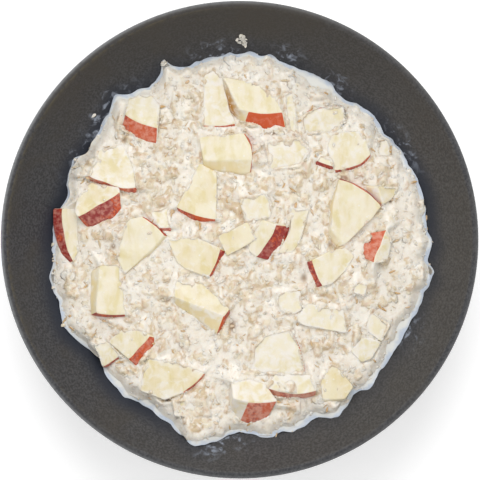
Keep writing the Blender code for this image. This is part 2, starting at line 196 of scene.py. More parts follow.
@dataclass
class Surface:
    """A closed surface before it is a mesh: points, faces of one or more sizes, and values."""

    points: Array
    faces: list[Array]
    values: dict[str, Array] = field(default_factory=dict)

    def volume(self) -> float:
        """Volume inside, from the tetrahedra that the faces' fans make with the origin.

        Returns:
            Cubic metres, negative where the faces point inwards.
        """
        total = 0.0
        for faces in self.faces:
            for i in range(1, faces.shape[1] - 1):
                corners = self.points[faces[:, [0, i, i + 1]]]
                total += np.linalg.det(corners).sum() / 6
        return total

    def face_out(self) -> "Surface":
        """Turns every face round if the surface is inside out.

        Returns:
            The surface itself.
        """
        if self.volume() < 0:
            self.faces = [faces[:, ::-1] for faces in self.faces]
        return self

    def add_to(self, name: str, slot: Slot, material: bpy.types.Material,
               replaces: tuple[str, ...] = ()) -> bpy.types.Object:
        """Args:
            name: the piece's name.
            slot: material slot of the record; not used.
            material: its finish.
            replaces: CAD nodes that it stands for.

        Returns:
            The object, riding on the body.
        """
        mesh = bpy.data.meshes.new(name)
        corners = np.concatenate([faces.ravel() for faces in self.faces])
        counts = np.concatenate([np.full(len(faces), faces.shape[1]) for faces in self.faces])
        mesh.vertices.add(len(self.points))
        mesh.vertices.foreach_set("co", self.points.astype(np.float32).ravel())
        mesh.loops.add(len(corners))
        mesh.loops.foreach_set("vertex_index", corners.astype(np.int32))
        mesh.polygons.add(len(counts))
        mesh.polygons.foreach_set("loop_start", (np.cumsum(counts) - counts).astype(np.int32))
        mesh.polygons.foreach_set("loop_total", counts.astype(np.int32))
        mesh.update(calc_edges=True)
        mesh.polygons.foreach_set("use_smooth", np.ones(len(counts), bool))
        for key, value in self.values.items():
            kind, slot_name = ("FLOAT", "value") if value.ndim == 1 else ("FLOAT_VECTOR", "vector")
            layer = mesh.attributes.new(key, kind, "POINT")
            layer.data.foreach_set(slot_name, value.astype(np.float32).ravel())
        mesh.materials.append(material)
        piece = bpy.data.objects.new(name, mesh)
        bpy.context.scene.collection.objects.link(piece)
        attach(piece, BODY)
        if replaces:
            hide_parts(*replaces)
        LOG.info("%s: %d faces", name, len(counts))
        return piece


def band_faces(rows: int, columns: int) -> Array:
    """Quads of a grid whose columns close into a ring, rows by columns.

    Args:
        rows: how many rings of points there are.
        columns: points in a ring.

    Returns:
        Four point numbers per face.
    """
    row, column = np.meshgrid(np.arange(rows - 1), np.arange(columns), indexing="ij")
    here, beside = row * columns + column, row * columns + (column + 1) % columns
    return np.stack([here, beside, beside + columns, here + columns], -1).reshape(-1, 4)


def fan_faces(centre: int, ring: Array) -> Array:
    """Triangles from a centre point to a closed ring of points.

    Args:
        centre: number of the middle point.
        ring: numbers of the ring's points, in order.

    Returns:
        Three point numbers per face.
    """
    return np.stack([np.full(len(ring), centre), ring, np.roll(ring, -1)], -1)


def closed_by_poles(rings: Array, first: Array, last: Array) -> tuple[Array, list[Array]]:
    """Closes a tube of rings with a point at each end.

    Args:
        rings: points, rows by columns by three.
        first: point that closes the first ring.
        last: point that closes the last ring.

    Returns:
        The points, the two poles last, and the faces.
    """
    rows, columns = rings.shape[:2]
    points = np.concatenate([rings.reshape(-1, 3), [first], [last]])
    start = fan_faces(rows * columns, np.arange(columns)[::-1])
    end = fan_faces(rows * columns + 1, (rows - 1) * columns + np.arange(columns))
    return points, [band_faces(rows, columns), start, end]


# Forms that the bowl and the food share


@dataclass(frozen=True)
class BowlForm:
    """Inside of the bowl: an ellipse, lowest on the floor, that meets the rim at a slope."""

    rim_radius: float = 100 * MM
    rim_wall: float = 3.6 * MM
    base_wall: float = 4.8 * MM
    rim_slope: float = math.radians(57)
    floor_height: float = 6.2 * MM
    depth: float = 48.5 * MM

    @property
    def lip_radius(self) -> float:
        """Radius of the half circle over the rim."""
        return self.rim_wall / 2

    @property
    def inner_rim(self) -> float:
        """Radius where the inner wall meets the lip."""
        return self.rim_radius - self.lip_radius * (1 + math.sin(self.rim_slope))

    @property
    def rim_cosine(self) -> float:
        """Cosine of the ellipse's angle at the rim, which gives the wall its slope there."""
        return self.depth / (self.inner_rim * math.tan(self.rim_slope) - self.depth)

    @property
    def reach(self) -> float:
        """Half width of the ellipse."""
        return self.inner_rim / math.sqrt(1 - self.rim_cosine**2)

    @property
    def rise(self) -> float:
        """Half height of the ellipse."""
        return self.depth / (1 - self.rim_cosine)

    def wall_height(self, radius: Array) -> Array:
        """Height of the inner wall: floor plus rise times 1 - sqrt(1 - (radius / reach)^2).

        Args:
            radius: distances from the axis.

        Returns:
            Heights.
        """
        share = np.minimum(np.asarray(radius) / self.reach, 1)
        return self.floor_height + self.rise * (1 - np.sqrt(1 - share**2))

    def wall_points(self, share: Array, inset: Array | float = 0.0) -> Array:
        """Points of the inner wall, from the floor at 0 to the rim at 1, moved along its normal.

        Args:
            share: shares of the ellipse's angle.
            inset: distances moved into the hollow; negative ones go into the wall.

        Returns:
            Radius and height, one row per point.
        """
        angle = share * math.acos(self.rim_cosine)
        normal = np.stack([-np.sin(angle) / self.reach, np.cos(angle) / self.rise], -1)
        normal /= np.linalg.norm(normal, axis=-1, keepdims=True)
        point = np.stack([self.reach * np.sin(angle), self.rise * (1 - np.cos(angle))], -1)
        return point + (0, self.floor_height) + np.asarray(inset)[..., None] * normal


class Lobe(NamedTuple):
    """Stretch of the porridge's edge that stands out or back, in degrees and millimetres."""

    angle: float
    width: float
    rise: float


def bells(angle: Array, lobes: tuple[Lobe, ...]) -> Array:
    """Sum of bells, rise * exp(-(off / width)^2), over the headings.

    Args:
        angle: headings about the axis, in radians.
        lobes: middle, width and rise of each bell.

    Returns:
        One length per heading.
    """
    total = np.zeros(np.shape(angle))
    for lobe in lobes:
        off = (np.degrees(angle) - lobe.angle + 180) % 360 - 180
        total = total + lobe.rise * MM * np.exp(-((off / lobe.width) ** 2))
    return total


EDGE_LOBES = tuple(itertools.starmap(Lobe, (
    (15, 9, 0.8), (34, 9, -2.0), (53, 7, -3.2), (66, 5, -1.2), (87, 9, 1.8), (113, 3, 2.2),
    (120, 4, -1.4), (131, 3.5, 2.4), (146, 9, -2.8), (165, 5, -2.2), (180, 5, 0.6), (197, 7, 1.8),
    (207, 6, 2.6), (219, 5, -1.8), (231, 7, 1.3), (247, 3, 1.2), (258, 7, 7.2), (282, 9, 2.3),
    (299, 4, 3.2), (312, 3, 1.6), (348, 3, 1.8), (358, 3, 1.2))))

MILK_BANDS = tuple(itertools.starmap(Lobe, (
    (66, 7, 2.4), (50, 9, 0.9), (33, 9, 1.2), (-31, 12, 1.8), (-50, 5, 0.6), (-68, 6, 1.6),
    (238, 9, 1.6), (166, 5, 1.3), (124, 6, 1.3))))

SPIKES = tuple(itertools.starmap(Lobe, (
    (113.2, 1.3, 2.6), (103, 2.2, 0.8), (154, 2, 1.2), (191, 2, 1.2), (351, 2, 1.0))))


@dataclass(frozen=True)
class HeapForm:
    """Outline and smooth top of the porridge in the bowl."""

    bowl: BowlForm
    edge: float = 80.9 * MM
    edge_shift: tuple[float, float] = (0.6 * MM, -1.9 * MM)
    milk_band: float = 0.35 * MM
    least_band: float = 0.2 * MM
    band_wave: float = 0.5
    band_wave_size: float = 3.4 * MM
    ragged_rise: float = 1.25 * MM
    ragged_size: float = 4.4 * MM
    middle_height: float = 37.7 * MM
    lean: float = -0.045
    crown: float = 2.6 * MM
    edge_rise: float = 1.7 * MM
    bare_drop: float = 0.6
    wide_band: float = 2.5 * MM
    edge_blend: float = 0.78

    def edge_radius(self, angle: Array) -> Array:
        """Distance from the axis to the porridge's edge: a shifted circle plus bell-shaped lobes.

        Args:
            angle: headings about the axis, in radians.

        Returns:
            Distances.
        """
        radius = self.edge + self.edge_shift[0] * np.cos(angle) + self.edge_shift[1] * np.sin(angle)
        return radius + bells(angle, EDGE_LOBES)

    def shore(self, angle: Array) -> Array:
        """Distance to where the milk ends on the wall: the edge plus small bumps and spikes.

        Args:
            angle: headings about the axis, in radians.

        Returns:
            Distances.
        """
        round_the_edge = np.stack([np.cos(angle), np.sin(angle)], -1) * self.edge
        bumps = self.ragged_rise * fractal(round_the_edge, self.ragged_size, Seed.SHORE, 2)
        return self.edge_radius(angle) + bumps + bells(angle, SPIKES)

    def milk_level(self, angle: Array) -> Array:
        """Height at which the milk meets the wall.

        Args:
            angle: headings about the axis, in radians.

        Returns:
            Heights.
        """
        return self.bowl.wall_height(self.edge_radius(angle))

    def oats_radius(self, angle: Array) -> Array:
        """Distance from the axis to the oats' edge, inside a band of bare milk that comes and goes.

        Args:
            angle: headings about the axis, in radians.

        Returns:
            Distances.
        """
        round_the_edge = np.stack([np.cos(angle), np.sin(angle)], -1) * self.edge
        wave = self.band_wave * noise(round_the_edge, self.band_wave_size, Seed.BAND)
        band = self.milk_band + bells(angle, MILK_BANDS) * (1 + wave)
        return self.shore(angle) - np.maximum(band, self.least_band)

    def share(self, x: Array, y: Array) -> Array:
        """Distance from the axis as a share of the oats' reach at that heading.

        Args:
            x: places along X.
            y: places along Y.

        Returns:
            Shares, 0 in the middle and 1 at the oats' edge.
        """
        return np.hypot(x, y) / self.oats_radius(np.arctan2(y, x))

    def height(self, x: Array, y: Array) -> Array:
        """Smooth top: a low leaning dome that bends by 3t^2 - 2t^3 to the edge's height.

        The edge stands over the milk, less so where a band of bare milk lies beside it.

        Args:
            x: places along X.
            y: places along Y.

        Returns:
            Heights.
        """
        share = np.minimum(1, self.share(x, y))
        dome = self.middle_height + self.lean * y + self.crown * (1 - share**2)
        angle = np.arctan2(y, x)
        bare = np.clip(bells(angle, MILK_BANDS) / self.wide_band, 0, 1)
        rim = self.milk_level(angle) + self.edge_rise * (1 - self.bare_drop * bare)
        return dome + (rim - dome) * smooth(self.edge_blend, 1, share)


@dataclass(frozen=True)
class Chunk:
    """One cut piece of apple as seen from above, in millimetres.

    skins is how many edges of the upper face, from its first corner on, end in skin. thick is the
    thickness at the skin, lift how far the upper face's middle stands above the porridge, cover
    how much porridge lies on it, film how milky it is and tone how orange its skin is. upper has
    the upper face's corners, counter-clockwise, and lower the places where those sides that show
    go into the porridge, by the number of the corner above.
    """

    skins: int
    thick: float
    lift: float
    cover: float
    film: float
    tone: float
    upper: tuple[tuple[float, float], ...]
    lower: dict[int, tuple[float, float]] = field(default_factory=dict)


CHUNKS = (
    Chunk(1, 8.5, 1.3, 0.1, 0.45, 0.8,
          ((-49.1, 53.9), (-35, 47.7), (-34.1, 58.2), (-39.3, 63.8), (-47.8, 60.8)),
          {0: (-51.3, 46.8), 1: (-35.4, 40.8)}),
    Chunk(3, 4.6, 2.2, 0.12, 0.55, 0.55,
          ((-65, 27.3), (-58.6, 24.8), (-50.8, 22), (-43.1, 22.2), (-46.5, 33.8), (-50.4, 41.1),
           (-60.3, 38.5)),
          {0: (-64.8, 25.2), 1: (-58.6, 23), 2: (-50.4, 20.5), 3: (-44, 19.8)}),
    Chunk(2, 9.5, 1, 0.12, 0.4, 0.2,
          ((-68.9, 9.7), (-60.3, 14.7), (-50.8, 20.5), (-51.7, 22.6), (-64.1, 24.3),
           (-69.7, 17.5), (-70.4, 11.5)),
          {0: (-65.4, 4.6), 1: (-58.1, 7.2), 2: (-50.2, 11.5)}),
    Chunk(3, 6.5, 1.2, 0.05, 0.35, 0.05,
          ((-75.9, 13.6), (-75.1, 3.3), (-73.4, -4.4), (-71, -9.8), (-68.9, -4.4), (-69.7, 13.2)),
          {0: (-80.1, 13.6), 1: (-79.6, 2.9), 2: (-77, -5.3), 3: (-72.5, -10.4)}),
    Chunk(1, 9, 1.6, 0.02, 0.12, 0.35,
          ((-32, 2), (-41.8, 10), (-47.8, 8.9), (-52.6, -7.4), (-49.3, -14.9), (-37.5, -4.2)),
          {0: (-30.2, 1.6), 1: (-41.2, 10.2), 5: (-36.7, -5.3)}),
    Chunk(1, 9, 1.6, 0.03, 0.15, 0.55,
          ((-61.1, -31.4), (-48.5, -32.1), (-51.1, -12.1), (-52.1, -10.9), (-59.8, -10.9)),
          {0: (-63.9, -32.5), 1: (-48.5, -33.2), 4: (-63.7, -13.4)}),
    Chunk(2, 10, 2.4, 0.02, 0.1, 0.45,
          ((5.6, 33.8), (4.7, 40.6), (1.9, 45.8), (-17.4, 43.6), (-15.4, 33.8)),
          {0: (4.7, 27.5), 1: (5.4, 40.6), 2: (2.4, 46), 4: (-15.4, 29.7)}),
    Chunk(2, 9, 1.8, 0.06, 0.2, 0.75,
          ((-27.2, 13.8), (-18.7, 10.4), (-9.9, 8.5), (-9.7, 29), (-16.9, 32.9)),
          {0: (-26.6, 12.3), 1: (-18.2, 7.8), 2: (-10.1, 7.2)}),
    Chunk(1, 9.5, 2.6, 0.03, 0.12, 1.15,
          ((4.1, 54.6), (18.7, 54.6), (13.9, 63.4), (6.6, 67.2), (-7.3, 69.8), (0.2, 55.4)),
          {0: (2.4, 48.8), 1: (20.4, 47.1), 4: (-7.5, 69.2), 5: (-4.5, 55)}),
    Chunk(1, 8, 0.8, 0.08, 0.6, 0.7,
          ((-16.1, 49.2), (-1.5, 49.6), (-4.3, 55.6), (-7.5, 69.6), (-10.9, 73.2), (-15.2, 70.7)),
          {0: (-16.1, 47.9), 1: (-1.5, 48.6)}),
    Chunk(0, 8, 1.2, 0.18, 0.55, 0.5,
          ((18.7, 62.9), (20.4, 46.6), (25.1, 44.1), (23.4, 63.4))),
    Chunk(3, 8, 0.9, 0.2, 0.65, 0.7,
          ((44.6, 57.4), (34.5, 56.5), (30, 55), (26.4, 52.2), (27.7, 44.9), (41.8, 46.6),
           (45.7, 51.4)),
          {0: (44.8, 58.1), 1: (34.3, 57.4), 2: (29.6, 55.9), 3: (26, 52.9)}),
    Chunk(3, 10, 1.4, 0.1, 0.4, 0.6,
          ((41, 29.5), (47, 30.8), (52.1, 32.7), (56.4, 36.6), (54.3, 42.8), (51.7, 46.6),
           (39.7, 45.8), (37.5, 38.5)),
          {0: (41, 28.6), 1: (47.4, 29.7), 2: (52.6, 31.4), 3: (57.1, 35.7)}),
    Chunk(4, 10, 2.2, 0.04, 0.18, 0.45,
          ((60.5, 14.5), (56.8, 18.3), (52.6, 21.5), (48.3, 23.9), (42.3, 25.8), (39.9, 14.5),
           (38.8, 4.2), (44.8, -2.3), (56.4, 8.9)),
          {0: (61.1, 14.5), 1: (57.3, 18.9), 2: (53, 22.3), 3: (48.5, 24.6), 4: (42.5, 26.5),
           5: (38.6, 14), 6: (37.8, 3.3), 7: (40.5, -4.2)}),
    Chunk(0, 7, 1.8, 0.1, 0.3, 0.5,
          ((59, 22.6), (61.1, 14.9), (65.4, 17.2), (68.4, 22.6)),
          {0: (51.7, 23.5), 1: (59.8, 14.5)}),
    Chunk(2, 9, 1.9, 0.12, 0.55, 0.95,
          ((62.8, 4.6), (60.3, -1.8), (56.8, -10), (62.8, -9.6), (65.4, -0.1)),
          {0: (54.7, 3.1), 1: (51.9, -4), 2: (53.4, -8.3)}),
    Chunk(1, 10, 1.8, 0.04, 0.3, 0.25,
          ((30.7, -8.7), (35.4, -20.1), (39.7, -18.6), (45.3, -13), (48.9, -7), (45.7, -3.3),
           (38.8, -4.8)),
          {0: (28.1, -9.6), 1: (33, -20.9)}),
    Chunk(2, 9, 2.5, 0.02, 0.25, 0.05,
          ((6.9, -7.6), (11.6, -1.4), (15.7, 6.7), (9.7, 8.5), (5.4, 1.6), (3.6, -4.4)),
          {0: (12.2, -9.1), 1: (19.1, -1), 2: (21.9, 5.4)}),
    Chunk(0, 7, 0.9, 0.06, 0.4, 0.3,
          ((22.1, 13.6), (21.7, 4.6), (16.5, -6.1), (23, -5.3), (26, -0.6), (29.8, 13.2))),
    Chunk(0, 4.2, 1.9, 0.04, 0.18, 0.3,
          ((-9.7, 1.6), (-5.4, -7), (1.9, -3.1), (7.5, 0.3), (3.2, 7.6), (-3.2, 4.2))),
    Chunk(0, 8, 1.2, 0.18, 0.5, 0.3,
          ((-0.6, 19.2), (2.4, 7.6), (13.1, 9.3), (13.9, 15.3), (11.4, 19.6))),
    Chunk(2, 9, 1.2, 0.03, 0.25, 0.6,
          ((-13.1, -16), (-9.9, -9.6), (-8.2, -3.6), (-18.7, 1.2), (-30.7, -0.1), (-26.8, -9.6),
           (-23, -12.6)),
          {0: (-12.2, -16.4), 1: (-8.6, -10), 2: (-5.4, -5.3)}),
    Chunk(1, 9.5, 2, 0.06, 0.25, 0.8,
          ((-6.6, -32.7), (-4.1, -29.3), (-15.7, -19), (-27.2, -17.7), (-28.5, -24.2),
           (-18.2, -28.2)),
          {0: (-9.7, -41.1), 1: (-3.4, -30.2), 4: (-28.3, -27.6), 5: (-19.5, -33.6)}),
    Chunk(2, 9, 1.5, 0.04, 0.35, 0.9,
          ((-47.4, -50.8), (-42.7, -45.8), (-38, -40.9), (-41.4, -39), (-50.4, -38.3),
           (-56.4, -43.5)),
          {0: (-43.5, -55), 1: (-38.4, -49), 2: (-35.4, -41.5)}),
    Chunk(1, 6, 1, 0.15, 0.4, 0.55,
          ((-58.6, -54.6), (-50.4, -49.2), (-56.8, -43.5), (-62.4, -44.7)),
          {0: (-58.1, -55.3), 1: (-49.8, -49.7)}),
    Chunk(1, 8, 1.5, 0.1, 0.4, 0.55,
          ((-23.8, -64.9), (-14.8, -56.8), (-25.5, -52.5), (-38.8, -50.8), (-41, -56.8),
           (-42.3, -64.5), (-32, -68.3)),
          {0: (-23.2, -65.6), 1: (-14.2, -57.4)}),
    Chunk(0, 4.5, 0.9, 0.8, 0.75, 0.3,
          ((-29, -67.9), (-27.7, -75.6), (-11.8, -75.2), (-14.8, -67.1))),
    Chunk(1, 10, 2.2, 0.05, 0.65, 0.8,
          ((3.9, -68.8), (16.5, -68.3), (11.4, -61.9), (4.5, -59.3), (-3.6, -60.2), (-2.8, -67.1)),
          {0: (0.2, -78.6), 1: (11.6, -77.3), 4: (-4.9, -66.2), 5: (-4.1, -72.2)}),
    Chunk(3, 7, 2.3, 0.36, 0.75, 0.25,
          ((10.9, -62.8), (16.5, -64.5), (24.7, -65.6), (33.2, -64), (31.5, -57.6), (15.2, -57.2)),
          {0: (10.9, -64.9), 1: (16.1, -67.5), 2: (25.1, -67.9), 3: (32.8, -66.6)}),
    Chunk(3, 9, 1, 0.25, 0.7, 0.6,
          ((27.7, -57.6), (26.8, -51.6), (25.1, -45.2), (21.2, -37.9), (12.2, -40), (5.4, -45.2),
           (4.5, -55.9), (16.5, -58)),
          {0: (28.1, -57.6), 1: (27.3, -51.6), 2: (25.7, -45), 3: (21.7, -37.5)}),
    Chunk(0, 8, 0.8, 0.16, 0.55, 0.5,
          ((15.2, -22.9), (16.1, -28), (19.1, -31.4), (23, -31.9), (26.4, -30.2), (26, -21.6))),
    Chunk(0, 9, 1.1, 0.06, 0.6, 0.3,
          ((29, -27.2), (23.4, -34.4), (27.2, -36.6), (46.1, -40), (44.4, -29.7))),
    Chunk(0, 7, 0.9, 0.12, 0.65, 0.3,
          ((56.4, -31), (52.6, -37.5), (60.7, -43.9), (65, -36.2))),
    Chunk(0, 6.5, 1.1, 0.08, 0.6, 0.3,
          ((53, -40.9), (47.4, -47.7), (52.1, -52.5), (56.4, -51.2), (60.7, -43.9))),
    Chunk(0, 6.5, 1.6, 0.03, 0.25, 0.3,
          ((39.3, -53.8), (34.5, -60.2), (35.8, -68.3), (44.8, -67.9), (48.7, -62.8),
           (41.8, -54.6)),
          {2: (35, -69.6), 3: (45.3, -69.2)}),
    Chunk(1, 7, 1.8, 0.12, 0.6, 0.1,
          ((54.7, -19.9), (50, -17.3), (48.3, -22.4), (53.4, -24.6)),
          {0: (53.6, -21.1), 1: (49.5, -19)}),
    Chunk(0, 8, 1, 0.3, 0.8, 0.3,
          ((10.1, 42.8), (13.1, 29.9), (26, 30.8), (30.7, 38.5), (26, 44.1))),
    Chunk(0, 5, 1.2, 0.12, 0.8, 0.3,
          ((59, 44.1), (60.3, 36.3), (65.9, 35.9), (63.7, 42.8))),
    Chunk(1, 5, 0.8, 0.22, 0.55, 0.5,
          ((-34.5, 5), (-28.5, 5.4), (-30.7, 14.5), (-38.4, 11.9)),
          {0: (-33.2, 3.1), 1: (-29, 3.3)}),
    Chunk(1, 6, 1.4, 0.25, 0.2, -0.2,
          ((32.8, 34), (40.5, 31.2), (39.3, 35), (34.5, 37.2)),
          {0: (32, 31.6), 1: (40.3, 29.5)}),
)

# How yellow the flesh of a piece is, by its number; pale where it isn't listed
RIPE = {2: 0.2, 3: 0.6, 8: 0.35, 15: 0.5, 16: 0.3, 20: 0.5, 22: 0.35, 23: 0.3, 26: 0.5, 28: 0.45,
        35: 0.8, 37: 0.2}


class Pit(NamedTuple):
    """Hollow beside an apple piece, darkened by painted shadow, in millimetres: place, half widths
    and depth.
    """

    x: float
    y: float
    wide: float
    high: float
    depth: float


PITS = tuple(itertools.starmap(Pit, (
    (-3.2, -37.0, 2.0, 3.4, 1.4), (-2.9, 60.5, 2.6, 8.0, 1.5), (-30.5, -68.6, 1.6, 0.6, 1.8),
    (2.6, -3.4, 1.4, 1.4, 0.9), (-54.2, -3.0, 1.6, 1.8, 1.3), (38.5, -2.2, 1.3, 2.2, 1.1),
    (27.5, -16.5, 1.8, 2.6, 1.2), (64.8, 17.2, 0.8, 2.2, 1.4), (-49.5, 43.0, 1.2, 2.4, 1.2),
    (14.5, 45.6, 5.0, 0.7, 1.3), (-47.3, -8.0, 2.2, 1.2, 1.0), (45.5, 55.5, 1.4, 0.8, 1.0))))


def pit_depth(x: Array, y: Array) -> Array:
    """Sum of the pits, each depth * exp(-(its elliptic distance)^2).

    Args:
        x: places along X.
        y: places along Y.

    Returns:
        Depths.
    """
    return sum(pit.depth * MM * np.exp(-(((x / MM - pit.x) / pit.wide) ** 2
                                         + ((y / MM - pit.y) / pit.high) ** 2)) for pit in PITS)


# Height map of the porridge


@dataclass
class HeightMap:
    """Numbers on an even square lattice about the axis, read by blending the four nearest."""

    half: float
    pitch: float
    cells: Array

    @classmethod
    def empty(cls, half: float, pitch: float) -> "HeightMap":
        """Lattice of zeros from -half to half.

        Args:
            half: half width of the lattice.
            pitch: distance between its cells.

        Returns:
            The map.
        """
        count = 2 * round(half / pitch) + 1
        return cls(half, pitch, np.zeros((count, count)))

    def grid(self) -> tuple[Array, Array]:
        """X and Y of every cell, with X along the second axis."""
        line = (np.arange(len(self.cells)) - len(self.cells) // 2) * self.pitch
        return np.meshgrid(line, line)

    def at(self, x: Array, y: Array) -> Array:
        """Blends the four nearest cells by how near they are.

        Args:
            x: places along X.
            y: places along Y.

        Returns:
            One number per place.
        """
        last = len(self.cells) - 1.001
        column = np.clip(x / self.pitch + len(self.cells) // 2, 0, last)
        row = np.clip(y / self.pitch + len(self.cells) // 2, 0, last)
        i, j = row.astype(int), column.astype(int)
        a, b = row - i, column - j
        upper = self.cells[i, j] * (1 - b) + self.cells[i, j + 1] * b
        lower = self.cells[i + 1, j] * (1 - b) + self.cells[i + 1, j + 1] * b
        return upper * (1 - a) + lower * a

    def window(self, x: float, y: float, reach: float) -> tuple[slice, slice]:
        """Rows and columns of the cells within reach of a place on both axes.

        Args:
            x: the place along X.
            y: the place along Y.
            reach: half width of the window.

        Returns:
            The slices of the rows and of the columns.
        """
        middle, last = len(self.cells) // 2, len(self.cells)
        spans = []
        for value in (y, x):
            low = int((value - reach) / self.pitch) + middle
            high = int((value + reach) / self.pitch) + middle + 2
            spans.append(slice(max(low, 0), min(high, last)))
        return spans[0], spans[1]

    def blurred(self, reach: float) -> "HeightMap":
        """Mean over a square of this half width, taken three times along each axis.

        Args:
            reach: half width of the square.

        Returns:
            A map of the means.
        """
        cells, half = self.cells, max(1, round(reach / self.pitch))
        width = 2 * half + 1
        for _ in range(3):
            for axis in (0, 1):
                edges = [(0, 0), (0, 0)]
                edges[axis] = (half + 1, half)
                sums = np.cumsum(np.pad(cells, edges, mode="edge"), axis=axis)
                count = sums.shape[axis]
                cells = (np.take(sums, range(width, count), axis)
                         - np.take(sums, range(count - width), axis)) / width
        return HeightMap(self.half, self.pitch, cells)


def hull(points: Array) -> Array:
    """Corners of the convex outline of points seen from above, walked counter-clockwise.

    Args:
        points: coordinates in the first two columns, and what goes with each point.

    Returns:
        The rows of the corners, in order.
    """
    chain: list[Array] = []
    order = points[np.lexsort((points[:, 1], points[:, 0]))]
    for side in (order, order[::-1]):
        start = len(chain)
        for point in side:
            while len(chain) > start + 1:
                (ax, ay), (bx, by) = (chain[-1] - chain[-2])[:2], (point - chain[-1])[:2]
                if ax * by - ay * bx > 0:
                    break
                chain.pop()
            chain.append(point)
        chain.pop()
    return np.array(chain)


@dataclass(frozen=True)
class PlacedChunk:
    """A chunk of apple where it lies: a block between an upper, a foot and an under outline."""

    chunk: Chunk
    form: HeapForm
    core_share: float = 0.68
    least_side: float = 1.0 * MM
    least_drop: float = 0.35
    foot_sunk: float = 0.5 * MM
    least_slope: float = 0.12
    seen_side: float = 0.15 * MM

    def corners(self) -> tuple[Array, Array, Array]:
        """Corners in the bowl, clear of its wall: upper, at the foot, and underneath.

        The upper face rises towards the sides that show by the tangent of
        asin(shown / thick / 2). The foot is where a side goes into the porridge: where the row says
        for a side that shows, else straight below. From there the block goes straight down.

        Returns:
            Three outlines, one row per corner.
        """
        chunk, form = self.chunk, self.form
        upper, thick = np.array(chunk.upper) * MM, chunk.thick * MM
        foot, shown = upper.copy(), sorted(chunk.lower)
        for corner in shown:
            foot[corner] = np.array(chunk.lower[corner]) * MM
        shift = (foot - upper)[shown]
        mean = shift.mean(0) if shown else np.zeros(2)
        reach = max(float(np.linalg.norm(mean)), 1e-9)
        lean = mean / reach * math.tan(math.asin(min(reach / thick / 2, 0.5)))
        middle = upper.mean(0)
        height = float(form.height(*middle)) + chunk.lift * MM + (upper - middle) @ lean
        sunk = form.height(*foot.T) - self.foot_sunk
        short = (sunk[shown] + self.foot_sunk + self.least_drop * np.linalg.norm(shift, axis=1)
                 - height[shown]).max(initial=0)
        height = height + short
        for spot in (upper, foot):
            radius = np.minimum(np.hypot(*spot.T) + GAP, form.bowl.inner_rim)
            height = height + max(0.0, float((form.bowl.wall_height(radius) + GAP
                                              + self.least_side - height).max()))
        wall = form.bowl.wall_height(np.minimum(np.hypot(*foot.T) + GAP, form.bowl.inner_rim)) + GAP
        sunk = np.maximum(np.minimum(sunk, height - self.least_side / 2), wall)
        skin = np.arange(len(upper)) <= chunk.skins - (chunk.skins == 0)
        under = np.maximum(height - thick * np.where(skin, 1, self.core_share), wall)
        return (np.column_stack([upper, height]), np.column_stack([foot, sunk]),
                np.column_stack([foot, np.minimum(under, sunk)]))

    def planes(self) -> Array:
        """Planes of the faces that can be seen from above.

        Returns:
            The height at 0, 0 and the slopes along X and Y, one row per face.
        """
        upper, foot, _ = self.corners()
        third = len(upper) / 3
        faces = [upper[[0, round(third), round(2 * third)]]]
        for i, after in enumerate(np.roll(np.arange(len(upper)), -1)):
            low = (foot[i] + foot[after]) / 2
            step = upper[after] - upper[i]
            outward = (low - (upper[i] + upper[after]) / 2)[:2] @ (step[1], -step[0])
            if outward > self.seen_side * np.linalg.norm(step[:2]):
                faces.append(np.array([upper[i], upper[after], low]))
        planes = []
        for first, second, last in faces:
            normal = np.cross(second - first, last - first)
            if abs(normal[2]) > self.least_slope * np.linalg.norm(normal):
                slope = -normal[:2] / normal[2]
                planes.append([first[2] - first[:2] @ slope, *slope])
        return np.array(planes)


class Outline(NamedTuple):
    """Cells near a chunk: places, distances to its outline, and what the outline has there."""

    spot: tuple[slice, slice]
    x: Array
    y: Array
    away: Array
    inside: Array
    height: Array
    depth: Array


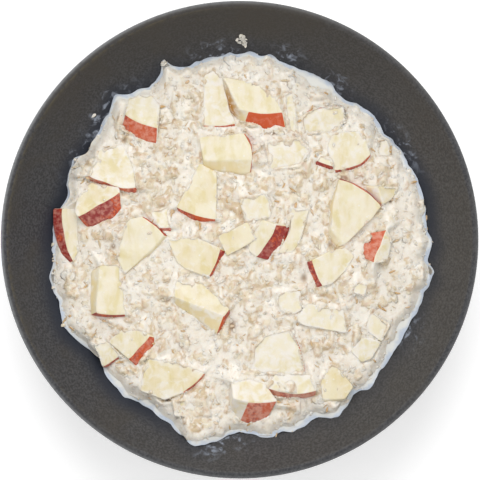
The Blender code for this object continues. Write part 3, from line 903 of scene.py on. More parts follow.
@dataclass
class Heap:
    """The porridge's surface: flakes heaped on the smooth form, milk between them, apple in it."""

    form: HeapForm
    chunks: list[PlacedChunk]
    half: float = 86 * MM
    pitch: float = 0.3 * MM
    cap_count: int = 3600
    cap_size: tuple[float, float] = (3.9 * MM, 3.0 * MM)
    cap_height: float = 0.9 * MM
    cap_tilt: float = 0.17
    cap_blend: float = 0.3 * MM
    cap_scales: tuple[float, ...] = (1.0, 0.7, 0.4)
    cap_shares: tuple[float, ...] = (0.25, 0.3, 0.45)
    cap_vary: tuple[float, float] = (0.8, 1.15)
    cap_rim: tuple[float, float] = (0.66, 0.9)
    cap_waves: tuple[tuple[float, int, int], ...] = ((0.07, 3, 7), (0.05, 5, 9))
    cap_scatter: float = 0.8 * MM
    cap_sunk: float = 0.9 * MM
    cap_lift: tuple[float, float] = (-0.9, 0.55)
    groove_depth: float = 0.15 * MM
    groove_width: float = 0.5 * MM
    groove_ends: tuple[float, float] = (0.95, 0.5)
    core_drop: float = 1.2 * MM
    soften: float = 0.6
    warp: float = 0.7 * MM
    warp_size: float = 3.2 * MM
    lump_height: float = 1.1 * MM
    lump_size: float = 8 * MM
    crumb_height: float = 0.7 * MM
    crumb_size: float = 2.3 * MM
    clot_height: float = 3.3 * MM
    clot_size: float = 5.6 * MM
    clot_mean: float = 0.2
    edge_coat: float = 1.1 * MM
    coat_band: float = 1.6 * MM
    coat_span: tuple[float, float] = (0.8, 0.98)
    coat_least: float = 0.3
    pool_level: float = -0.1 * MM
    pool_wave: float = 0.6 * MM
    pool_size: float = 6.5 * MM
    pool_blend: float = 0.3 * MM
    edge_start: float = 0.91
    edge_sink: float = 1.0 * MM
    pit_shade: float = 1.7 * MM
    soft_reach: float = 0.9 * MM
    near_chunk: float = 9 * MM
    hug_slope: float = 0.9
    hug_drop: float = 0.1 * MM
    hug_ragged: float = 0.5 * MM
    ragged_size: float = 2.2 * MM
    bank_slope: float = 0.4
    bank_reveal: float = -0.1 * MM
    bank_wave: float = 0.6 * MM
    bank_size: float = 5 * MM
    bank_foot: float = 3 * MM
    under_face: float = 0.08 * MM
    inner_drop: float = 1.2 * MM
    inner_band: tuple[float, float] = (0.15 * MM, 1.5 * MM)
    side_band: tuple[float, float] = (0.1 * MM, 0.6 * MM)
    bare_level: float = 0.5 * MM
    patch_wave: float = 1.4
    patch_size: float = 3.4 * MM
    patch_bare: float = 1.2
    patch_edge: float = 2.2 * MM
    patch_steep: float = 1.5
    patch_most: float = 0.7 * MM
    seed: int = 11

    def __post_init__(self) -> None:
        """Works out the maps."""
        self.top, self.tint, self.rim, self.pool, self.shadow, self.apple = (
            HeightMap.empty(self.half, self.pitch) for _ in range(6))
        self.apple.cells -= 1
        x, y = self.top.grid()
        self.plain = self.smooth_base(x, y)
        self.base = self.plain.copy()
        for number, placed in enumerate(self.chunks):
            self.bank(placed, number)
        self.top.cells[:] = self.base - self.core_drop
        self.stamp_caps()
        here = np.stack([x, y], -1)
        lumps = np.abs(fractal(here, self.clot_size, Seed.CLOT, 2)) - self.clot_mean
        self.top.cells += self.clot_height * lumps
        blurred = self.top.blurred(self.pitch).cells
        self.top.cells[:] = (1 - self.soften) * self.top.cells + self.soften * blurred
        self.top.cells += self.crumb_height * fractal(here, self.crumb_size, Seed.CRUMB)
        self.flood(x, y)
        self.drop_edge(x, y)
        for number, placed in enumerate(self.chunks):
            self.sink(placed, number)
        deep = pit_depth(x, y)
        self.top.cells -= deep
        self.shadow.cells[:] = np.minimum(deep / self.pit_shade, 1)
        self.soft = self.top.blurred(self.soft_reach)

    def smooth_base(self, x: Array, y: Array) -> Array:
        """Form plus wide lumps that fade out at the edge.

        Args:
            x: places along X.
            y: places along Y.

        Returns:
            Heights.
        """
        share = np.minimum(1, self.form.share(x, y))
        lumps = fractal(np.stack([x, y], -1), self.lump_size, self.seed, 2)
        return self.form.height(x, y) + self.lump_height * lumps * (1 - 0.5 * share**4)

    def stamp_caps(self) -> None:
        """Lays oval caps, height times 1 - r^3 on a tilted plane, softly keeping the highest."""
        draw = np.random.default_rng(self.seed)
        count = self.cap_count
        angle = np.arange(count) * math.pi * GOLDEN_ANGLE
        reach = self.form.oats_radius(angle) * np.sqrt((np.arange(count) + 0.5) / count)
        x = reach * np.cos(angle) + draw.normal(0, self.cap_scatter, count)
        y = reach * np.sin(angle) + draw.normal(0, self.cap_scatter, count)
        size = draw.choice(self.cap_scales, count, p=self.cap_shares)
        size = size * draw.uniform(*self.cap_vary, count)
        turn = draw.uniform(0, math.pi, count)
        slope = draw.uniform(-self.cap_tilt, self.cap_tilt, (count, 2))
        lift = draw.uniform(*self.cap_lift, count) * MM
        tint = draw.random(count)
        grid_x, grid_y = self.top.grid()
        here = np.stack([grid_x, grid_y], -1)
        grid_x = grid_x + self.warp * fractal(here, self.warp_size, Seed.WARP_X, 2)
        grid_y = grid_y + self.warp * fractal(here, self.warp_size, Seed.WARP_Y, 2)
        for i in draw.permutation(count):
            spot = self.top.window(x[i], y[i], self.cap_size[0] * size[i] * 1.1)
            dx, dy = grid_x[spot] - x[i], grid_y[spot] - y[i]
            along = dx * math.cos(turn[i]) + dy * math.sin(turn[i])
            across = dy * math.cos(turn[i]) - dx * math.sin(turn[i])
            heading = np.arctan2(across, along)
            wave = sum((high * np.sin(waves * heading + shift * tint[i])
                        for high, waves, shift in self.cap_waves), 1)
            r = np.hypot(along / self.cap_size[0], across / self.cap_size[1]) / size[i] / wave
            dome = self.cap_height * math.sqrt(size[i]) * np.maximum(1 - r**3, 0)
            groove = self.groove_depth * np.exp(-((across / self.groove_width) ** 2))
            groove = groove * smooth(*self.groove_ends, r)
            height = (self.base[spot] - self.cap_sunk + lift[i] + dome - groove
                      + slope[i, 0] * dx + slope[i, 1] * dy)
            over = height - self.top.cells[spot]
            above = (r < 1) & (over > 0)
            share = np.clip(0.5 + over / (2 * self.cap_blend), 0, 1)
            mixed = self.top.cells[spot] + over * share + self.cap_blend * share * (1 - share)
            self.top.cells[spot] = np.where(r < 1, mixed, self.top.cells[spot])
            self.tint.cells[spot] = np.where(above, tint[i], self.tint.cells[spot])
            self.rim.cells[spot] = np.where(above, smooth(*self.cap_rim, r), self.rim.cells[spot])

    def flood(self, x: Array, y: Array) -> None:
        """Fills the hollows with milk to a slowly waving level, higher towards the edge.

        The milk's blend with the flakes goes over pool_blend above and below its level.

        Args:
            x: X of every cell.
            y: Y of every cell.
        """
        coat = self.edge_coat * smooth(*self.coat_span, self.form.share(x, y))
        coat *= self.coat_least + np.clip(bells(np.arctan2(y, x), MILK_BANDS) / self.coat_band, 0,
                                          1 - self.coat_least)
        wave = fractal(np.stack([x, y], -1), self.pool_size, self.seed + 5, 4)
        level = self.base + self.pool_level + coat + self.pool_wave * wave
        over = level - self.top.cells
        blend = self.pool_blend
        self.pool.cells[:] = smooth(-blend, blend, over)
        share = np.clip(0.5 + over / (2 * blend), 0, 1)
        self.top.cells[:] = (self.top.cells + (level - self.top.cells) * share
                             + blend * share * (1 - share))

    def drop_edge(self, x: Array, y: Array) -> None:
        """Rounds the heap's edge down into the milk.

        Args:
            x: X of every cell.
            y: Y of every cell.
        """
        past = smooth(self.edge_start, 1.0, self.form.share(x, y))
        self.top.cells -= past**2 * (self.form.edge_rise + self.edge_sink)
        self.pool.cells[:] = np.maximum(self.pool.cells, smooth(0, 0.6, past))

    def around(self, placed: PlacedChunk) -> Outline:
        """Works out, for the cells near a chunk, where they are from its outline.

        Args:
            placed: the chunk, in place.

        Returns:
            The cells and their distances from the outline.
        """
        upper, foot, _ = placed.corners()
        outline = hull(np.concatenate([np.column_stack([upper, np.zeros(len(upper))]),
                                       np.column_stack([foot, np.ones(len(foot))])]))
        middle = outline[:, :2].mean(0)
        reach = np.abs(outline[:, :2] - middle).max() + self.near_chunk
        spot = self.top.window(*middle, reach)
        x, y = (axis[spot] for axis in self.top.grid())
        here = np.stack([x, y], -1)
        nearest, inside = np.full(x.shape, np.inf), np.full(x.shape, np.inf)
        edge = np.zeros((*x.shape, 2))
        for start, end in zip(outline, np.roll(outline, -1, 0)):
            step = (end - start)[:2]
            share = np.clip(((here - start[:2]) @ step) / (step @ step), 0, 1)[..., None]
            away = np.linalg.norm(here - start[:2] - share * step, axis=-1)
            edge = np.where((away < nearest)[..., None], start[2:] + share * (end - start)[2:],
                            edge)
            nearest = np.minimum(nearest, away)
            normal = np.array([-step[1], step[0]]) / np.linalg.norm(step)
            inside = np.minimum(inside, (here - start[:2]) @ normal)
        return Outline(spot, x, y, nearest, inside, edge[..., 0], edge[..., 1])

    def bank(self, placed: PlacedChunk, number: int) -> None:
        """Heaps the smooth form up against the upper edges of a chunk, less the further off.

        Args:
            placed: the chunk, in place.
            number: its number, which picks the noise of the bank.
        """
        line = self.around(placed)
        here = np.stack([line.x, line.y], -1)
        reveal = self.bank_reveal + self.bank_wave * noise(here, self.bank_size, Seed.BANK + number)
        reveal = reveal + self.bank_foot * line.depth
        banked = line.height - reveal - self.bank_slope * line.away
        self.base[line.spot] = np.maximum(self.base[line.spot], banked)

    def sink(self, placed: PlacedChunk, number: int) -> None:
        """Lowers the porridge under a chunk and round it, and lays some back on top of it.

        Inside the chunk's outline the porridge stays below the chunk's faces. Outside it stays
        below the outline's height there plus a slope times the distance.

        Args:
            placed: the chunk, in place.
            number: its number, which picks the noise of what lies on it.
        """
        line = self.around(placed)
        spot, inside, here = line.spot, line.inside, np.stack([line.x, line.y], -1)
        planes = placed.planes()
        faces = np.min(planes[:, 0, None, None] + planes[:, 1, None, None] * line.x
                       + planes[:, 2, None, None] * line.y, axis=0)
        level = self.plain[spot]
        ragged = self.hug_ragged * noise(here, self.ragged_size, Seed.RAGGED + number)
        deeper = self.inner_drop * smooth(*self.inner_band, inside)
        limit_in = faces - self.under_face - deeper
        limit_out = np.maximum(line.height, level) - self.hug_drop
        limit_out = limit_out + self.hug_slope * line.away + ragged
        within = inside > 0
        bare = within & (faces > level - self.bare_level)
        limit = np.where(bare, limit_in, np.where(within, np.inf, limit_out))
        top = np.minimum(self.top.cells[spot], limit)
        cover = placed.chunk.cover
        upper = planes[0, 0] + planes[0, 1] * line.x + planes[0, 2] * line.y
        beside = smooth(*self.side_band, upper - faces)
        wave = self.patch_wave * fractal(here, self.patch_size, Seed.PATCH + number)
        patch = wave + 2 * cover - self.patch_bare
        rim_patch = (0.85 + 3 * min(cover, 0.2)) * smooth(self.patch_edge, 0, inside)
        patch += rim_patch - (0.8 + cover) * beside
        laid = faces + np.minimum(patch * self.patch_steep * MM, self.patch_most)
        crumb = fractal(here, self.crumb_size, Seed.CRUMB)
        laid += self.crumb_height * crumb * smooth(0, 0.3, patch)
        top = np.where(bare & (patch > -0.2), np.maximum(top, laid), top)
        self.top.cells[spot] = top
        self.apple.cells[spot] = np.where(within, np.maximum(self.apple.cells[spot], faces),
                                          self.apple.cells[spot])
        self.pool.cells[spot] = np.where(bare, 0.5, self.pool.cells[spot])


# Finishes


def shade(red: int, green: int, blue: int) -> tuple[float, float, float, float]:
    """Linear colour of a screen colour: c / 12.92 if dark, else ((c + 0.055) / 1.055)^2.4.

    Args:
        red: red, 0 to 255.
        green: green, 0 to 255.
        blue: blue, 0 to 255.

    Returns:
        Linear red, green and blue, and 1 for opaque.
    """
    parts = [value / 255 for value in (red, green, blue)]
    linear = [c / 12.92 if c <= 0.04045 else ((c + 0.055) / 1.055) ** 2.4 for c in parts]
    return (*linear, 1.0)


class Recipe:
    """A material under construction, with one method for each kind of node that it needs."""

    def __init__(self, name: str) -> None:
        """Starts a material with its main shader.

        Args:
            name: the material's name.
        """
        self.material = bpy.data.materials.new(name)
        self.material.use_nodes = True
        self.tree = self.material.node_tree
        self.shader = self.tree.nodes["Principled BSDF"]

    def put(self, node: bpy.types.ShaderNode, inputs: dict[str | int, object]) -> None:
        """Sets or links inputs of a node.

        Args:
            node: the node.
            inputs: a socket to link, or a value to set, by the input's number, or by its name
                with _ for a space.
        """
        for key, value in inputs.items():
            socket = node.inputs[key.replace("_", " ") if isinstance(key, str) else key]
            if isinstance(value, Socket):
                self.tree.links.new(value, socket)
            else:
                socket.default_value = value

    def set(self, **values: object) -> None:
        """Sets or links inputs of the main shader."""
        self.put(self.shader, values)

    def node(self, kind: str, **inputs: object) -> bpy.types.ShaderNode:
        """Adds a node.

        Args:
            kind: the node's type, without ShaderNode.
            inputs: what its inputs are set or linked to.

        Returns:
            The node.
        """
        node = self.tree.nodes.new("ShaderNode" + kind)
        self.put(node, inputs)
        return node

    def carried(self, name: str, output: str) -> Socket:
        """What the mesh carries on its points.

        Args:
            name: the attribute's name.
            output: Fac for a number, Vector for a place.

        Returns:
            The number or the place.
        """
        node = self.node("Attribute")
        node.attribute_name = name
        return node.outputs[output]

    def value(self, name: str) -> Socket:
        """A number that the mesh carries."""
        return self.carried(name, "Fac")

    def place(self) -> Socket:
        """Object coordinates."""
        return self.node("TexCoord").outputs["Object"]

    def stretched(self, place: Socket, scale: tuple[float, float, float]) -> Socket:
        """A place with each axis scaled."""
        return self.node("Mapping", Vector=place, Scale=scale).outputs["Vector"]

    def noise(self, place: Socket, size: float, detail: float = 3.0, bend: float = 0.0) -> Socket:
        """Cloudy noise, 0 to 1, whose blots are about size wide, bent by distortion."""
        node = self.node("TexNoise", Vector=place, Scale=1 / size, Detail=detail, Distortion=bend)
        return node.outputs["Fac"]

    def dots(self, place: Socket, size: float) -> Socket:
        """Distance to the nearest of scattered points about size apart, as a share of it."""
        return self.node("TexVoronoi", Vector=place, Scale=1 / size).outputs["Distance"]

    def step(self, value: Socket, low: float, high: float, start: float = 0.0,
             end: float = 1.0) -> Socket:
        """Smooth change from start to end.

        Args:
            value: what is mapped.
            low: value up to which the result is start.
            high: value from which on it is end.
            start: result at low.
            end: result at high.

        Returns:
            The result.
        """
        node = self.node("MapRange", Value=value, From_Min=low, From_Max=high, To_Min=start,
                         To_Max=end)
        node.interpolation_type = "SMOOTHSTEP"
        return node.outputs["Result"]

    def calc(self, how: Sum, first: object, second: object) -> Socket:
        """Arithmetic on two numbers.

        Args:
            how: what is done with them.
            first: a socket or a number.
            second: a socket or a number.

        Returns:
            The result.
        """
        node = self.node("Math")
        node.operation = how.value
        self.put(node, {0: first, 1: second})
        return node.outputs["Value"]

    def plus(self, first: object, second: object) -> Socket:
        """Sum of two numbers."""
        return self.calc(Sum.ADD, first, second)

    def times(self, first: object, second: object) -> Socket:
        """Product of two numbers."""
        return self.calc(Sum.MULTIPLY, first, second)

    def blend(self, share: Socket, first: Socket | Rgb, second: Socket | Rgb) -> Socket:
        """Colour between two colours.

        Args:
            share: 0 for the first colour, 1 for the second.
            first: a socket or a screen colour.
            second: a socket or a screen colour.

        Returns:
            The mixed colour.
        """
        node = self.node("Mix", Factor=share)
        node.data_type = "RGBA"
        first, second = (shade(*c) if isinstance(c, tuple) else c for c in (first, second))
        self.put(node, {6: first, 7: second})
        return node.outputs[2]

    def bump(self, height: Socket, depth: float) -> None:
        """Puts relief on the main shader, depth high where the height is 1."""
        node = self.node("Bump", Distance=depth, Strength=1.0, Height=height)
        self.set(Normal=node.outputs["Normal"])


@dataclass(frozen=True)
class Stoneware:
    """Matt dark glaze: fine speckle, worn brown and a painted pale highlight at the lip, milky by
    the food, painted light and shadow on the wall.
    """

    dark: Rgb = (46, 46, 49)
    light: Rgb = (74, 74, 76)
    warm: Rgb = (64, 59, 52)
    lit_side: Rgb = (66, 63, 59)
    lit_side_speck: Rgb = (87, 84, 80)
    worn: Rgb = (94, 85, 62)
    edge: Rgb = (124, 126, 128)
    food_shadow: Rgb = (34, 39, 51)
    smear: Rgb = (150, 158, 172)

    def make(self) -> bpy.types.Material:
        """Builds the material.

        Returns:
            The material.
        """
        recipe = Recipe("Dark stoneware")
        place = recipe.place()
        speckle = recipe.noise(place, 0.9 * MM, 4)
        cloud = recipe.noise(place, 22 * MM, 4, 0.4)
        grain = recipe.step(speckle, 0.35, 0.68)
        colour = recipe.blend(grain, self.dark, self.light)
        colour = recipe.blend(recipe.step(cloud, 0.45, 0.75, 0, 0.5), colour, self.warm)
        colour = recipe.blend(recipe.times(recipe.value("warmth"), 0.6), colour, self.warm)
        # Painted light: lighter copies of the glaze on the wall's lit side
        grain = recipe.step(speckle, 0.35, 0.68)
        lit_side_colour = recipe.blend(grain, self.lit_side, self.lit_side_speck)
        colour = recipe.blend(recipe.times(recipe.value("lit_side"), 0.75), colour, lit_side_colour)
        blot = recipe.noise(place, 2.2 * MM, 5)
        worn = recipe.times(recipe.value("worn"), recipe.step(blot, 0.3, 0.6))
        colour = recipe.blend(worn, colour, self.worn)
        # Painted highlight: pale line along the lip's crest, strongest on the left
        edge = recipe.times(recipe.value("edge"), recipe.step(blot, 0.25, 0.55, 0.5, 1))
        colour = recipe.blend(edge, colour, self.edge)
        # Painted shadow: dark bluish band on the wall where the food meets it
        colour = recipe.blend(recipe.value("food_shadow"), colour, self.food_shadow)
        smear_noise = recipe.noise(place, 3.2 * MM, 6, 0.6)
        smear = recipe.times(recipe.value("smear"), recipe.step(smear_noise, 0.5, 0.72))
        colour = recipe.blend(smear, colour, self.smear)
        recipe.set(Base_Color=colour, Roughness=recipe.step(speckle, 0.3, 0.7, 0.5, 0.66))
        recipe.set(Specular_IOR_Level=0.35)
        recipe.bump(speckle, 0.07 * MM)
        return recipe.material


@dataclass(frozen=True)
class SoakedOats:
    """Oats soaked in milk: cream and beige flakes with tan edges, whiter where milk stands."""

    beige: Rgb = (208, 188, 155)
    cream: Rgb = (226, 215, 192)
    pink: Rgb = (222, 200, 185)
    tan: Rgb = (196, 164, 126)
    milk: Rgb = (238, 233, 223)
    gold: Rgb = (200, 150, 82)
    shadow: Rgb = (158, 132, 106)

    def make(self, name: str) -> bpy.types.Material:
        """Builds the material.

        Args:
            name: the material's name.

        Returns:
            The material.
        """
        recipe = Recipe(name)
        place = recipe.place()
        tint, rim, pool = (recipe.value(key) for key in ("tint", "rim", "pool"))
        cloud = recipe.noise(place, 2.4 * MM, 4, 0.8)
        drift = recipe.noise(place, 5.2 * MM, 4, 1.0)
        colour = recipe.blend(recipe.step(tint, 0.0, 0.75), self.beige, self.cream)
        colour = recipe.blend(recipe.step(cloud, 0.48, 0.66, 0, 0.6), colour, self.pink)
        colour = recipe.blend(recipe.step(drift, 0.44, 0.57, 0, 0.75), colour, self.milk)
        colour = recipe.blend(recipe.step(pool, 0.2, 1.0, 0, 0.75), colour, self.milk)
        fleck = recipe.noise(place, 1.5 * MM, 3, 0.5)
        colour = recipe.blend(recipe.step(fleck, 0.63, 0.75, 0, 0.3), colour, self.tan)
        colour = recipe.blend(recipe.step(fleck, 0.38, 0.3, 0, 0.7), colour, self.milk)
        edge = recipe.times(rim, recipe.step(cloud, 0.38, 0.6, 0.05, 0.75))
        edge = recipe.times(edge, recipe.step(pool, 0.3, 1.0, 1.0, 0.3))
        colour = recipe.blend(edge, colour, self.tan)
        colour = recipe.blend(recipe.times(recipe.value("gold"), 0.85), colour, self.gold)
        colour = recipe.blend(recipe.step(recipe.value("shadow"), 0.15, 0.9), colour, self.shadow)
        recipe.set(Base_Color=colour, Roughness=recipe.step(pool, 0, 1, 0.4, 0.2))
        recipe.set(Subsurface_Weight=0.5, Subsurface_Scale=1.2 * MM, Specular_IOR_Level=0.4)
        recipe.set(Subsurface_Radius=(1.0, 0.9, 0.75))
        recipe.bump(recipe.noise(place, 1.9 * MM, 4, 0.5), 0.35 * MM)
        return recipe.material


@dataclass(frozen=True)
class Milk:
    """Milk at the edge: white, bluish where it thins out against the wall."""

    deep: Rgb = (228, 228, 222)
    thin: Rgb = (190, 200, 214)

    def make(self) -> bpy.types.Material:
        """Builds the material.

        Returns:
            The material.
        """
        recipe = Recipe("Milk")
        cloud = recipe.noise(recipe.place(), 6 * MM, 3)
        share = recipe.plus(recipe.value("thin"), recipe.step(cloud, 0.4, 0.7, -0.1, 0.2))
        colour = recipe.blend(recipe.step(share, 0.6, 1.02), self.deep, self.thin)
        recipe.set(Base_Color=colour, Roughness=recipe.step(cloud, 0.3, 0.7, 0.18, 0.28))
        recipe.set(Subsurface_Weight=0.2, Subsurface_Scale=1.5 * MM)
        recipe.set(Subsurface_Radius=(0.9, 0.95, 1.0))
        return recipe.material


@dataclass(frozen=True)
class Apple:
    """Cut apple: cream flesh, golden on its sides from oxidised flesh and painted shade, and
    streaked red skin with a milky film; painted amber shadow where a pit lies beside it.
    """

    cream: Rgb = (230, 220, 195)
    butter: Rgb = (221, 208, 162)
    pith: Rgb = (236, 229, 208)
    yellow: Rgb = (220, 200, 142)
    golden_and_shaded: Rgb = (228, 208, 156)
    amber_shadow: Rgb = (178, 122, 34)
    crimson: Rgb = (150, 46, 44)
    orange: Rgb = (204, 84, 34)
    pale: Rgb = (222, 138, 104)
    milky: Rgb = (236, 231, 223)
    rosy: Rgb = (226, 172, 152)

    def make(self) -> bpy.types.Material:
        """Builds the material.

        Returns:
            The material.
        """
        recipe = Recipe("CutFruit")
        grain = recipe.carried("grain", "Vector")
        side, skin, film, tone = (recipe.value(key) for key in ("side", "skin", "film", "tone"))
        cloud = recipe.noise(recipe.stretched(grain, (1, 0.35, 1)), 3.0 * MM, 5, 0.3)
        flesh = recipe.step(cloud, 0.38, 0.66)
        flesh = recipe.blend(flesh, self.cream, self.butter)
        ripe = recipe.times(recipe.value("ripe"), 0.6)
        flesh = recipe.blend(ripe, flesh, self.yellow)
        # Sides: golden from oxidised flesh, partly painted shade
        flesh = recipe.blend(recipe.times(side, 0.75), flesh, self.golden_and_shaded)
        broad = recipe.noise(grain, 9 * MM, 2, 0.4)
        flesh = recipe.blend(recipe.step(broad, 0.42, 0.62, 0, 0.55), flesh, self.pith)
        # Painted shadow: dark amber on side faces down in the pits
        flesh = recipe.blend(recipe.value("amber_shadow"), flesh, self.amber_shadow)
        streak = recipe.noise(recipe.stretched(grain, (1, 1, 0.25)), 0.8 * MM, 4)
        share = recipe.plus(tone, recipe.step(streak, 0.3, 0.7, -0.35, 0.35))
        share = recipe.plus(share, recipe.step(broad, 0.38, 0.62, -0.3, 0.4))
        red = recipe.blend(recipe.step(share, 0.1, 0.9), self.crimson, self.orange)
        dots = recipe.dots(grain, 1.3 * MM)
        red = recipe.blend(recipe.step(dots, 0.26, 0.12, 0, 0.45), red, self.pale)
        veil = recipe.noise(grain, 3.6 * MM, 4, 0.5)
        veil = recipe.plus(recipe.step(veil, 0.3, 0.72, -0.5, 0.5), film)
        flesh = recipe.blend(recipe.step(veil, 0.2, 1.2, 0, 0.85), flesh, self.milky)
        drops = recipe.dots(grain, 2.6 * MM)
        drops = recipe.times(recipe.step(drops, 0.2, 0.1, 0, 0.8),
                             recipe.step(broad, 0.45, 0.55))
        flesh = recipe.blend(drops, flesh, self.milky)
        haze = recipe.noise(recipe.stretched(grain, (1, 1, 0.3)), 1.7 * MM, 5, 0.3)
        haze = recipe.plus(recipe.step(haze, 0.3, 0.7, -0.28, 0.28), film)
        red = recipe.blend(recipe.step(haze, 0.1, 1.1, 0, 0.85), red, self.rosy)
        colour = recipe.blend(recipe.step(skin, 0.35, 0.6), flesh, red)
        recipe.set(Base_Color=colour, Roughness=recipe.step(skin, 0, 1, 0.42, 0.3))
        recipe.set(Subsurface_Weight=0.2, Subsurface_Scale=1.5 * MM, Specular_IOR_Level=0.45)
        recipe.set(Subsurface_Radius=(1.0, 0.85, 0.5))
        recipe.bump(recipe.noise(grain, 1.1 * MM, 4), 0.09 * MM)
        return recipe.material


# Bowl


@dataclass(frozen=True)
class StonewareBowl:
    """The bowl: a turned shell on a foot ring, with a rounded lip."""

    form: BowlForm
    heap: HeapForm
    foot_radius: float = 41 * MM
    foot_width: float = 4.0 * MM
    foot_draft: float = 1.2 * MM
    foot_recess: float = 2.0 * MM
    foot_round: float = 0.6 * MM
    steps: int = 288
    wall_rows: int = 96
    outer_rows: int = 44
    lip_rows: int = 14
    worn_band: tuple[float, float] = (4.2 * MM, 1.5 * MM)
    lip_highlight_band: tuple[float, float] = (1.9 * MM, 0.5 * MM)
    food_shadow_band: tuple[float, float] = (7 * MM, 0.5 * MM)
    smear_band: tuple[float, float] = (8 * MM, 2 * MM)
    food_shadow_sides: tuple[tuple[float, float, float], ...] = (
        (150, 30, 1), (200, 22, 1), (20, 45, 0.7), (232, 18, 1))
    smears: tuple[tuple[float, float], ...] = (
        (141, 13), (97, 7), (75, 4), (58, 4), (31, 7), (332, 4), (266, 6))

    def profile(self) -> Array:
        """Half section from the middle of the floor, over the lip, to the middle of the foot.

        Returns:
            Radius and height, one row per point, without the two ends on the axis.
        """
        form = self.form
        inner = form.wall_points(np.linspace(0.01, 1, self.wall_rows))
        start, end = form.wall_points(np.array([1.0]), np.array([0.0, -form.rim_wall]))
        middle = (start + end) / 2
        across = start - middle
        angle = np.linspace(0, math.pi, self.lip_rows + 2)[1:-1, None]
        lip = middle + np.cos(angle) * across + np.sin(angle) * np.array([across[1], -across[0]])
        share = np.linspace(1, 0, self.outer_rows)
        outer = form.wall_points(share, -form.base_wall - (form.rim_wall - form.base_wall) * share)
        outer = outer[outer[:, 0] > self.foot_radius + self.foot_width / 2]
        foot = [(self.foot_radius, outer[-1, 1] - self.foot_width / 2),
                (self.foot_radius - self.foot_draft, 0),
                (self.foot_radius - self.foot_width, 0),
                (self.foot_radius - self.foot_width - self.foot_draft, self.foot_recess),
                (0.5 * MM, self.foot_recess)]
        return np.concatenate([inner, lip, outer, self.rounded(np.array([outer[-1], *foot]))])

    def rounded(self, corners: Array) -> Array:
        """Rounds the inner corners of a line: (1-t)^2 before + 2t(1-t) corner + t^2 after.

        Args:
            corners: points of the line.

        Returns:
            Points of the rounded line, without its first.
        """
        t = np.linspace(0, 1, 5)[:, None]
        rows = []
        for before, corner, after in zip(corners, corners[1:], corners[2:]):
            steps = [other - corner for other in (before, after)]
            near = [corner + step * min(0.45, self.foot_round / np.linalg.norm(step))
                    for step in steps]
            rows.append((1 - t) ** 2 * near[0] + 2 * t * (1 - t) * corner + t**2 * near[1])
        return np.concatenate([*rows, corners[-1:]])

    def surface(self, low: Vector, high: Vector) -> Surface:
        """Turns the section about the axis and fits it to the box of the solid.

        Args:
            low: lowest corner of the solid's box; not used.
            high: highest corner of the solid's box.

        Returns:
            The closed surface, with the values that its finish reads.
        """
        profile = self.profile()
        profile *= high.x / profile[:, 0].max(), high.z / profile[:, 1].max()
        angle = np.arange(self.steps) * math.tau / self.steps
        heading = np.stack([np.cos(angle), np.sin(angle)], -1)
        rings = np.empty((len(profile), self.steps, 3))
        rings[..., :2] = profile[:, None, :1] * heading
        rings[..., 2] = profile[:, None, 1]
        points, faces = closed_by_poles(rings, np.array([0, 0, profile[0, 1]]),
                                        np.array([0, 0, profile[-1, 1]]))
        surface = Surface(points, faces)
        self.add_values(surface, profile[: self.wall_rows, 0].max())
        return surface.face_out()

    def add_values(self, surface: Surface, inner_rim: float) -> None:
        """Values for the finish: distances to the lip and the food, weighted by heading, with a
        painted highlight on the lip's crest, painted light on the wall's lit side and a painted
        shadow by the food.

        Args:
            surface: the surface that gets them.
            inner_rim: radius of the inner wall at the lip; not used.
        """
        x, y, z = surface.points.T
        radius, angle = np.hypot(x, y), np.arctan2(y, x)
        inner = np.arange(len(x)) < (self.wall_rows + 2) * self.steps

        def facing(middle: float, width: float) -> Array:
            """Bell over the heading: exp(-(off / width)^2), in degrees."""
            off = (np.degrees(angle) - middle + 180) % 360 - 180
            return np.exp(-((off / width) ** 2))

        left = smooth(0, 1, facing(155, 62) * 1.3)
        from_rim = self.form.rim_radius - radius
        surface.values["worn"] = inner * left * smooth(*self.worn_band, from_rim)
        # Painted highlight mask on the lip's crest, strongest on the left
        crest_highlight = smooth(*self.lip_highlight_band, from_rim) * smooth(0.045, 0.052, z)
        surface.values["edge"] = crest_highlight * (0.25 + 0.75 * facing(170, 75))
        surface.values["warmth"] = facing(95, 50) * smooth(0.03, 0.05, z)
        # Painted light: mask of the wall's lit side, on the right and the near side
        surface.values["lit_side"] = inner * (facing(0, 60) + 0.5 * facing(270, 50))
        past = radius - self.heap.edge_radius(angle)
        close = inner * smooth(-2 * MM, 0, past)
        # Painted shadow along the food's edge on the wall, strongest at the listed headings
        food_shadow_sides = sum((share * facing(middle, width) for middle, width, share in self.food_shadow_sides), 0.25)
        surface.values["food_shadow"] = 0.9 * close * smooth(*self.food_shadow_band, past) * np.clip(food_shadow_sides, 0, 1)
        windows = sum(facing(middle, width) for middle, width in self.smears)
        surface.values["smear"] = close * np.clip(windows, 0, 1) * smooth(*self.smear_band, past)


# Porridge


